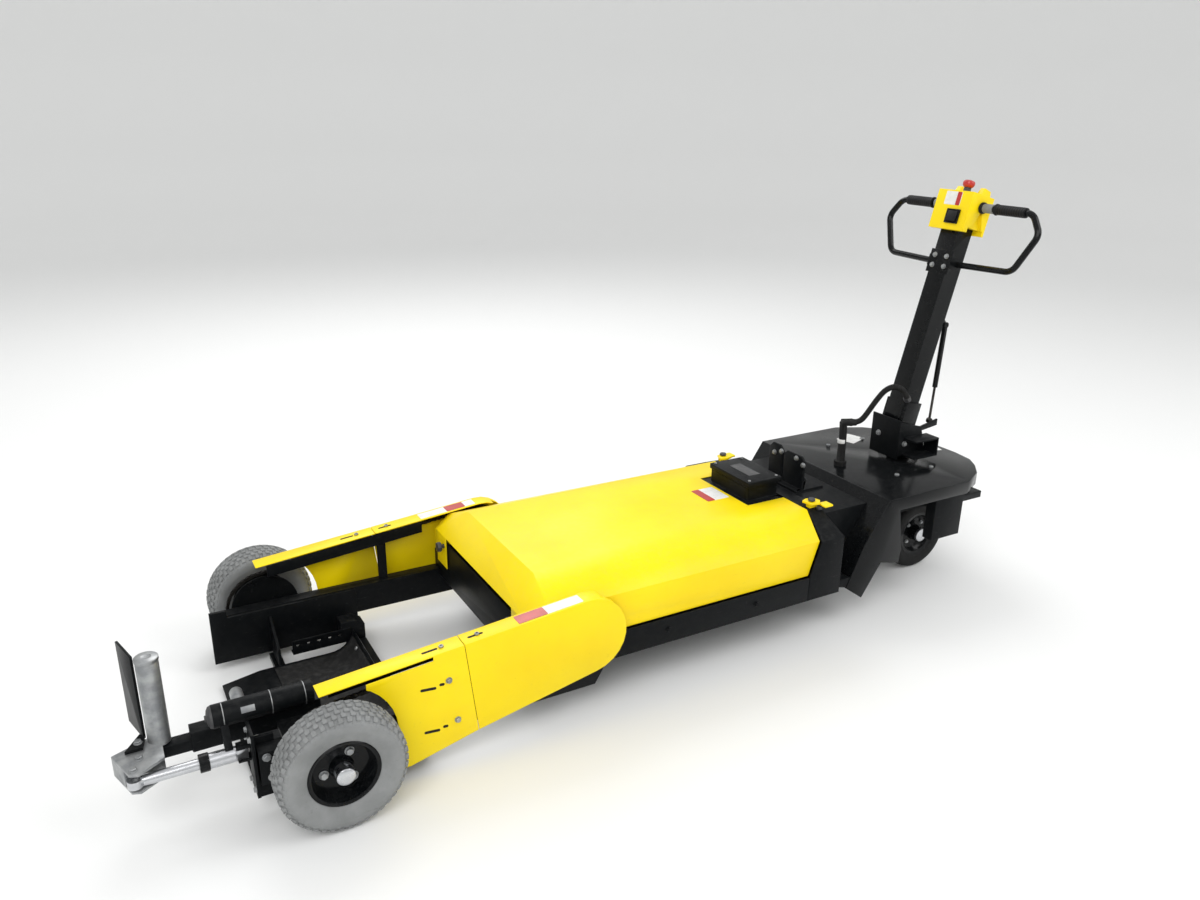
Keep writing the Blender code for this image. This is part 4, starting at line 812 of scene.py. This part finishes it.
# front wheels: ribbed tyre, lug bolts and hub cap
tyreSet = {"rim": 0.0865, "outer": 0.156, "half": 0.048, "middle": 0.476, "axleZ": 0.156, "lugs": 44,
           "sunk": 0.0042, "sinks": (0.70, 0.90), "pull": 6,
           "section": ((0.0, 0.72), (0.10, 0.80), (0.22, 0.86), (0.36, 0.95), (0.50, 1.0), (0.62, 0.995),
                       (0.72, 0.98), (0.80, 0.93), (0.88, 0.86), (0.93, 0.77), (0.965, 0.66), (0.985, 0.50),
                       (0.992, 0.35), (0.998, 0.17), (1.0, 0.0)),
           # each row of lugs: place across, radius, tilt, width, length, stagger
           "rows": ((0.0090, 0.1560, 0, 0.0128, 0.0130, 0.0), (0.0262, 0.1552, 7, 0.0125, 0.0125, 0.5),
                    (0.0400, 0.1497, 38, 0.0120, 0.0120, 0.0), (0.0462, 0.1385, 66, 0.0095, 0.0110, 0.5)),
           "lugDeep": 0.0075}
rimSet = {"dish": 0.0032, "boltCircle": 0.043, "bolts": (60, 192, 308), "boltSize": 0.0105, "capAt": 0.0182,
          "cap": ((0.0226, 0.0), (0.0230, 0.002), (0.0230, 0.026), (0.0222, 0.0290), (0.0192, 0.0315),
                  (0.0120, 0.0328), (0.0020, 0.0332)),
          "beadAt": 0.0340, "bead": ((0.0770, 0.0), (0.0800, 0.0022), (0.0850, 0.0030), (0.0868, 0.0012),
                                     (0.0868, -0.0030), (0.0775, -0.0030))}


def frontTyre(side, s, settings):
    rise, (low, high) = settings["outer"] - settings["rim"], settings["sinks"]
    rings = []
    for share, wide in settings["section"]:
        sunk = settings["sunk"] * max(0.0, min(1.0, (share - low) / (high - low)))
        rings.append((settings["rim"] + rise * share - sunk,
                      settings["half"] * wide * (1 - sunk * settings["pull"])))
    rings = rings + [(radius, -height) for radius, height in rings[-2::-1]]
    middle = spot(0, s * settings["middle"], settings["axleZ"])
    pieces = [placed(turned(rings[::-1], 88, False), middle, yAxis)]
    step = 2 * math.pi / settings["lugs"]
    for across, radius, tilt, wide, long, stagger in settings["rows"]:
        for way in (1, -1):
            lug = block((-long / 2, -wide / 2, -settings["lugDeep"]), (long / 2, wide / 2, 0), 0.0013, 1)
            lug.matrix_world = (Matrix.Translation(middle + Vector((0, way * across, radius)))
                                @ Matrix.Rotation(-way * math.radians(tilt), 4, "X"))
            settled(lug)
            shift = stagger * step + (step / 2 if way > 0 and across < 0.01 else 0)
            pieces.append(copiesOf(lug, [turnAbout(middle,
                                                   i * step + shift) for i in range(settings["lugs"])]))
    return given(smoothed(joined(pieces), 34), f"frontTyre{side.title()}Tread", "greyRubber",
                 f"front_wheel_{side}", "tyre_grey", (f"front_tyre_{side}",))


def boltCircle(middle, radius, angles, s):
    return [(middle + Vector((radius * math.cos(math.radians(angle)), 0,
                              radius * math.sin(math.radians(angle)))),
             (0, s, 0)) for angle in angles]


def wheelPlace(s, out):
    return spot(0, s * (tyreSet["middle"] + out), tyreSet["axleZ"])


for side, s in sides:
    frontTyre(side, s, tyreSet)
    body, label = f"front_wheel_{side}", side.title()
    seats = boltCircle(wheelPlace(s, rimSet["dish"]), rimSet["boltCircle"], rimSet["bolts"], s)
    given(laidOut(hexBolt(rimSet["boltSize"]), seats), f"lugBolts{label}", "zincSteel", body, "steel")
    given(lathed(rimSet["cap"], 40, wheelPlace(s, rimSet["capAt"]), (0, s, 0), 32), f"hubCap{label}",
          "brightSteel", body, "steel")
    given(lathed(rimSet["bead"], 72, wheelPlace(s, rimSet["beadAt"]), (0, s, 0), 40, False),
          f"rimBead{label}", "glossBlack", body, "gloss_black")
print("front wheels are done")

# rear wheels
rearSet = {"x": 2.250, "z": 0.135, "y": 0.120, "half": 0.028,
           "rings": ((0.0848, 0.78), (0.0900, 0.90), (0.0985, 0.955), (0.1050, 1.0), (0.1130, 0.995),
                     (0.1200, 0.965), (0.1262, 0.88), (0.1305, 0.74), (0.1326, 0.60), (0.1306, 0.56),
                     (0.1306, 0.50), (0.1336, 0.46), (0.1348, 0.24), (0.1350, 0.08)),
           "cap": ((0.0250, -0.010), (0.0254, -0.008), (0.0254, 0.0095), (0.0240, 0.0122), (0.0200, 0.0136),
                   (0.0090, 0.0146), (0.0015, 0.0148)),
           "dish": 0.0022, "boltCircle": 0.046, "bolts": (45, 135, 225, 315), "boltSize": 0.0070}
for side, s in sides:
    rings = [(radius, rearSet["half"] * share) for radius, share in rearSet["rings"]]
    rings = rings + [(radius, -height) for radius, height in rings[::-1]]
    middle, out = spot(rearSet["x"], s * rearSet["y"], rearSet["z"]), Vector((0, s, 0))
    given(lathed(rings[::-1], 80, middle, yAxis, 40, False), f"rearTyre{side.title()}Moulded", "blackRubber",
          "rear_wheels", "rubber", (f"rear_tyre_{side}",))
    given(lathed(rearSet["cap"], 36, middle + out * rearSet["half"], out, 32), f"rearCap{side.title()}",
          "brightSteel", "rear_wheels", "steel")
    seats = boltCircle(middle + out * rearSet["dish"], rearSet["boltCircle"], rearSet["bolts"], s)
    given(laidOut(hexBolt(rearSet["boltSize"]), seats), f"rearLugs{side.title()}", "zincSteel", "rear_wheels",
          "steel")
print("rear wheels are done")

# roller chains round the wheel sprocket and the drive sprocket, each given as (x, z, pitch radius)
chainSet = {"front": (0.0, 0.156, 0.112), "drive": (0.710, 0.262, 0.088), "steps": 120, "y": 0.390,
            "pitch": 0.01588, "plate": 0.0125, "waist": 0.6192, "thick": 0.0014, "gap": 0.0030,
            "roller": 0.0048, "pin": 0.00216, "head": 0.0012}


def chainLine(settings):
    (x0, z0, r0), (x1, z1, r1), steps = settings["front"], settings["drive"], settings["steps"]
    span, tilt = math.hypot(x1 - x0, z1 - z0), math.atan2(z1 - z0, x1 - x0)
    spread = math.acos((r0 - r1) / span)
    start, end = tilt + spread, tilt - spread
    points = []
    for x, z, radius, first, sweep in ((x0, z0, r0, start, 2 * math.pi - (start - end)),
                                       (x1, z1, r1, end, start - end)):
        for i in range(steps + 1):
            turn = first + sweep * i / steps
            points.append(Vector((x + radius * math.cos(turn), 0, z + radius * math.sin(turn))))
    return points + [points[0].copy()]


def chainLink(settings, outer):
    # two waisted side plates, with rollers between the inner ones and pins through the outer ones
    half, reach = settings["plate"] / 2 * settings["waist"], settings["pitch"] / 2 + settings["plate"] * 0.4
    offset = settings["gap"] + (settings["thick"] if outer else 0)
    pieces = []
    for way in (1, -1):
        plate = block((-reach, offset * way - settings["thick"] / 2, -half),
                      (reach, offset * way + settings["thick"] / 2, half), 0)
        chosen(plate)
        bpy.ops.object.mode_set(mode="EDIT")
        bpy.ops.mesh.select_all(action="SELECT")
        bpy.ops.mesh.subdivide(number_cuts=3)
        bpy.ops.object.mode_set(mode="OBJECT")
        for corner in plate.data.vertices:
            share = abs(corner.co.x) / reach
            corner.co.z *= 0.80 if share >= 0.9 else (1.28 if share > 0.25 else 0.92)
        pieces.append(plate)
    radius, end = (settings["pin"],
                   offset + settings["head"]) if outer else (settings["roller"], offset - 0.0004)
    for way in (1, -1):
        pieces.append(placed(turned([(radius, -end), (radius, end)], 10), (way * settings["pitch"] / 2, 0, 0),
                             yAxis))
    return joined(pieces)


for side, s in sides:
    line = chainLine(chainSet)
    count = 2 * round(lineLength(line) / chainSet["pitch"] / 2)
    centres = evenly(line, lineLength(line) / count)
    turns = []
    for a, b in zip(centres, centres[1:]):
        middle, along = (a + b) / 2, b - a
        turns.append(Matrix.Translation(spot(middle.x, s * chainSet["y"], middle.z))
                     @ Matrix.Rotation(-math.atan2(along.z, along.x), 4, "Y"))
    loops = [copiesOf(chainLink(chainSet, outer), turns[int(outer)::2]) for outer in (False, True)]
    given(smoothed(joined(loops), 30), f"rollerChain{side.title()}", "oiledSteel", "chassis", "chain_steel",
          (f"drive_chain_{side}",))
print("chains are linked")

# tiller: bolts, labels, grips and collars; places are in the tiller's own upright frame
tillerSet = {"foot": (2.217, 0, 0.500), "lean": 14.5, "handleT": 0.835, "boltT": (0.615, 0.651),
             "boltY": 0.026, "boltSize": 0.0082, "tubeFront": -0.0405, "headFront": -0.0620}
leanTurn = (Matrix.Translation(spot(*tillerSet["foot"]))
            @ Matrix.Rotation(math.radians(tillerSet["lean"]), 4, "Y"))


def leaned(piece):
    piece.matrix_world = leanTurn @ piece.matrix_world
    return settled(piece)


seats = [(Vector((tillerSet["tubeFront"], way * tillerSet["boltY"], t)), (-1, 0, 0)) for way in (1, -1)
         for t in tillerSet["boltT"]]
given(leaned(laidOut(hexBolt(tillerSet["boltSize"]), seats)), "clampBolts", "zincSteel", "tiller", "steel")
for name, length, proud, y, look, slot in (("headLabel", 0.069, 0.0006, 0.0035, "whiteLabel", "steel"),
                                           ("headLabelBand", 0.018, 0.0010, -0.020, "redPlastic", "red")):
    label = stuck(sticker(0.046, length, proud), Vector((tillerSet["headFront"], y, 0.849)), (-1, 0, 0))
    given(leaned(label), name, look, "tiller", slot)

gripSet = {"bore": 0.0114, "flange": 0.0196, "ribs": 11, "first": -0.050, "pitch": 0.0095, "valley": 0.0168,
           "crest": 0.0175, "y": 0.197}
gripRings = [(gripSet["bore"], -0.061), (0.0180, -0.061), (gripSet["flange"], -0.0595),
             (gripSet["flange"], -0.0570), (0.0176, -0.0555)]
for i in range(gripSet["ribs"]):
    low = gripSet["first"] + i * gripSet["pitch"]
    gripRings += [(gripSet["valley"], low), (gripSet["crest"], low + 0.0012),
                  (gripSet["crest"], low + 0.0072), (gripSet["valley"], low + 0.0084)]
gripRings += [(0.0172, 0.0565), (0.0168, 0.0600), (0.0150, 0.0610), (gripSet["bore"], 0.0610)]
collarRings = ((0.0114, -0.020), (0.0150, -0.020), (0.0158, -0.0185), (0.0158, 0.0185), (0.0150, 0.020),
               (0.0114, 0.020))
stopRings = ((0.0114, -0.0050), (0.0185, -0.0050), (0.0196, -0.0035), (0.0196, 0.0035), (0.0185, 0.0050),
             (0.0114, 0.0050))
for side, s in sides:
    for name, rings, count, y, angle, look, slot, stands in (
            (f"ribbedGrip{side.title()}", gripRings, 36, gripSet["y"], 35, "softGrip", "grip",
             (f"handle_grip_{side}",)),
            (f"greyCollar{side.title()}", collarRings, 32, 0.1075, 30, "greyRubber", "galvanised", ()),
            (f"blackRing{side.title()}", stopRings, 32, 0.0815, 30, "blackRubber", "grip", ())):
        piece = lathed(rings, count, (0, s * y, tillerSet["handleT"]), (0, s, 0), angle, False)
        given(leaned(piece), name, look, "tiller", slot, stands)

# speed rocker: a bezel with a sunk window, and the paddle that rocks in it
rockerSet = {"bezel": ((-0.0700, -0.0450, 0.763), (-0.0621, 0.0100, 0.812)), "rim": 0.0055, "sunk": 0.0045,
             "paddle": ((-0.0735, -0.0385, 0.7692), (-0.0650, 0.0035, 0.8058)), "rock": 0.0035}


def rockerSwitch(settings):
    bezel = block(*settings["bezel"], 0)
    chosen(bezel)
    bpy.ops.object.mode_set(mode="EDIT")
    bpy.ops.mesh.select_mode(type="FACE")
    bpy.ops.mesh.select_all(action="DESELECT")
    bpy.ops.object.mode_set(mode="OBJECT")
    for face in bezel.data.polygons:
        face.select = face.normal.x < -0.9
    bpy.ops.object.mode_set(mode="EDIT")
    bpy.ops.mesh.inset(thickness=settings["rim"])
    bpy.ops.transform.translate(value=(settings["sunk"], 0, 0))
    bpy.ops.object.mode_set(mode="OBJECT")
    bevelled(bezel, 0.0014, 3)
    paddle = block(*settings["paddle"], 0)
    for corner in paddle.data.vertices:
        if corner.co.x < -0.07 and corner.co.z > 0.79:      # the paddle's upper outer edge
            corner.co.x += settings["rock"]
    bevelled(paddle, 0.0020, 3)
    return smoothed(joined([bezel, paddle]), 30)


given(leaned(rockerSwitch(rockerSet)), "rockerSwitch", "softGrip", "tiller", "grip", ("speed_rocker",))
stopSet = {"place": (-0.018, -0.006, 0.8773),
           "base": ((0.0175, 0.0), (0.0175, 0.0025), (0.0160, 0.0040), (0.0135, 0.0042), (0.0130, 0.0052),
                    (0.0120, 0.0200)),
           "mushroom": ((0.0125, 0.0185), (0.0150, 0.0192), (0.0192, 0.0245), (0.0205, 0.0300),
                        (0.0205, 0.0345), (0.0192, 0.0390), (0.0150, 0.0425), (0.0080, 0.0442),
                        (0.0010, 0.0447))}
for part, count, look, slot, stands in (("base", 36, "darkCasing", "black", ()),
                                        ("mushroom", 44, "redPlastic", "red", ("emergency_stop",))):
    given(leaned(lathed(stopSet[part], count, stopSet["place"], zAxis)), "stop" + part.title(), look,
          "tiller", slot, stands)
print("tiller is fitted out")

# gate, its post and the actuator's motor
gateSet = {"post": (-0.362, -0.230, 0.420),
           "cap": ((0.0262, -0.0080), (0.0268, -0.0070), (0.0268, 0.0006), (0.0250, 0.0020), (0.0120, 0.0030),
                   (0.0100, 0.0016), (0.0020, 0.0014))}
motorSet = {"middle": (-0.268, 0.243), "radius": 0.0290, "seams": (-0.222, -0.110, -0.030),
            "band": ((0.0284, -0.0012), (0.0294, -0.0010), (0.0294, 0.0010), (0.0284, 0.0012)),
            "tailX": -0.2459, "tail": ((0.0280, 0.0), (0.0262, 0.0060), (0.0180, 0.0105), (0.0080, 0.0125),
                                       (0.0075, 0.0160), (0.0015, 0.0165)),
            "label": {"x": -0.166, "length": 0.032, "start": 168, "sweep": 30, "steps": 14, "thick": 0.0004,
                      "lift": 0.0003}}
given(lathed(gateSet["cap"], 44, spot(*gateSet["post"]), zAxis), "postCap", "zincSteel", "gate", "galvanised")
for i, x in enumerate(motorSet["seams"]):
    given(lathed(motorSet["band"], 48, spot(x, *motorSet["middle"]), xAxis, 40, False), f"motorSeam{i + 1}",
          "zincSteel", "actuator", "steel")
given(lathed(motorSet["tail"], 40, spot(motorSet["tailX"], *motorSet["middle"]), (-1, 0, 0)), "motorTail",
      "darkCasing", "actuator", "black")


def wrappedLabel(settings):
    # a label that follows the motor's round wall
    label = settings["label"]
    deselectAll()
    bpy.ops.mesh.primitive_plane_add(size=1)
    piece = bpy.context.object
    piece.scale = (label["length"], label["thick"], 1)
    settled(piece)
    piece.matrix_world = (Matrix.Rotation(math.radians(label["start"]), 4, "X")
                          @ Matrix.Translation((0, settings["radius"] + label["lift"], 0)))
    settled(piece)
    bpy.ops.object.mode_set(mode="EDIT")
    bpy.ops.mesh.select_all(action="SELECT")
    bpy.ops.mesh.spin(steps=label["steps"], angle=math.radians(label["sweep"]), center=(0, 0, 0),
                      axis=(1, 0, 0))
    bpy.ops.mesh.select_all(action="SELECT")
    bpy.ops.mesh.fill_holes(sides=4)
    bpy.ops.mesh.select_all(action="SELECT")
    bpy.ops.mesh.normals_make_consistent(inside=False)
    bpy.ops.object.mode_set(mode="OBJECT")
    piece.matrix_world = Matrix.Translation(spot(label["x"], *settings["middle"]))
    return smoothed(settled(piece), 30)


given(wrappedLabel(motorSet), "motorLabel", "zincSteel", "actuator", "steel")

# the actuator's ram, from its pivot to the gate's eye: (start, end, radius) along it
ramSet = {"pivot": (-0.195, -0.330, 0.168), "eye": (-0.427, -0.330, 0.168), "bore": 0.01415, "ease": 0.0009,
          "barrel": (0.0160, 0.0738, 0.01880), "collar": (0.0738, 0.0964, 0.02190),
          "shaft": (0.0970, 0.2160, 0.01325)}
ramStart, ramWay = spot(*ramSet["pivot"]), (spot(*ramSet["eye"]) - spot(*ramSet["pivot"])).normalized()
for part, look, body, slot in (("barrel", "brightSteel", "actuator", "steel"),
                               ("collar", "glossBlack", "actuator", "black"),
                               ("shaft", "brightSteel", "actuator_rod", "steel")):
    low, high, radius = ramSet[part]
    ease, bore = ramSet["ease"], ramSet["bore"]
    rings = [(radius - ease, low), (radius, low + ease), (radius, high - ease), (radius - ease, high)]
    if part != "shaft":
        rings = [(bore, low)] + rings + [(bore, high)]
    given(lathed(rings, 48, ramStart, ramWay, 30, part == "shaft"), "ram" + part.title(), look, body, slot)

# tie rings on the rails
ringSet = {"x": 0.020, "lugY": 0.3758, "lugZ": 0.150, "ringY": 0.3830, "ringZ": 0.140, "radius": 0.012,
           "wire": 0.0028, "hang": (0, 1, 0.25), "lug": ((0.0085, 0), (0.0085, 0.0020), (0.0050, 0.0032),
                                                         (0.0046, 0.0060))}
for side, s in sides:
    deselectAll()
    bpy.ops.mesh.primitive_torus_add(major_radius=ringSet["radius"], minor_radius=ringSet["wire"],
                                     major_segments=36, minor_segments=12)
    ring = placed(bpy.context.object, spot(ringSet["x"], s * ringSet["ringY"], ringSet["ringZ"]),
                  ringSet["hang"])
    lug = placed(turned(ringSet["lug"], 24), spot(ringSet["x"], s * ringSet["lugY"], ringSet["lugZ"]),
                 (0, s, 0))
    given(smoothed(joined([ring, lug]), 34), f"tieRing{side.title()}", "zincSteel", "chassis", "steel")

# the cable's boot, its nut at the tube and the ring on its gland
glandSet = {"boot": ((0.0136, 0.0), (0.0140, 0.002), (0.0140, 0.006), (0.0125, 0.010), (0.0118, 0.022)),
            "back": 0.002, "nut": ((0.0142, -0.016), (0.0142, -0.006), (0.0134, -0.004), (0.0118, 0.0)),
            "ring": ((0.0139, -0.0070), (0.0143, -0.0062), (0.0143, 0.0062), (0.0139, 0.0070)),
            "ringPlace": (1.956, 0.0, 0.505)}
bootWay, nutWay = cablePoints[1] - cablePoints[0], cablePoints[-1] - cablePoints[-2]
given(lathed(glandSet["boot"], 32, cablePoints[0] - bootWay.normalized() * glandSet["back"], bootWay),
      "cableBoot", "blackRubber", "chassis", "rubber")
given(lathed(glandSet["nut"], 6, cablePoints[-1], nutWay, 30), "cableNut", "darkCasing", "tiller", "rubber")
given(lathed(glandSet["ring"], 40, spot(*glandSet["ringPlace"]), zAxis, 30), "glandRing", "whiteLabel",
      "chassis", "rubber")
print("gate and cable fittings are done")
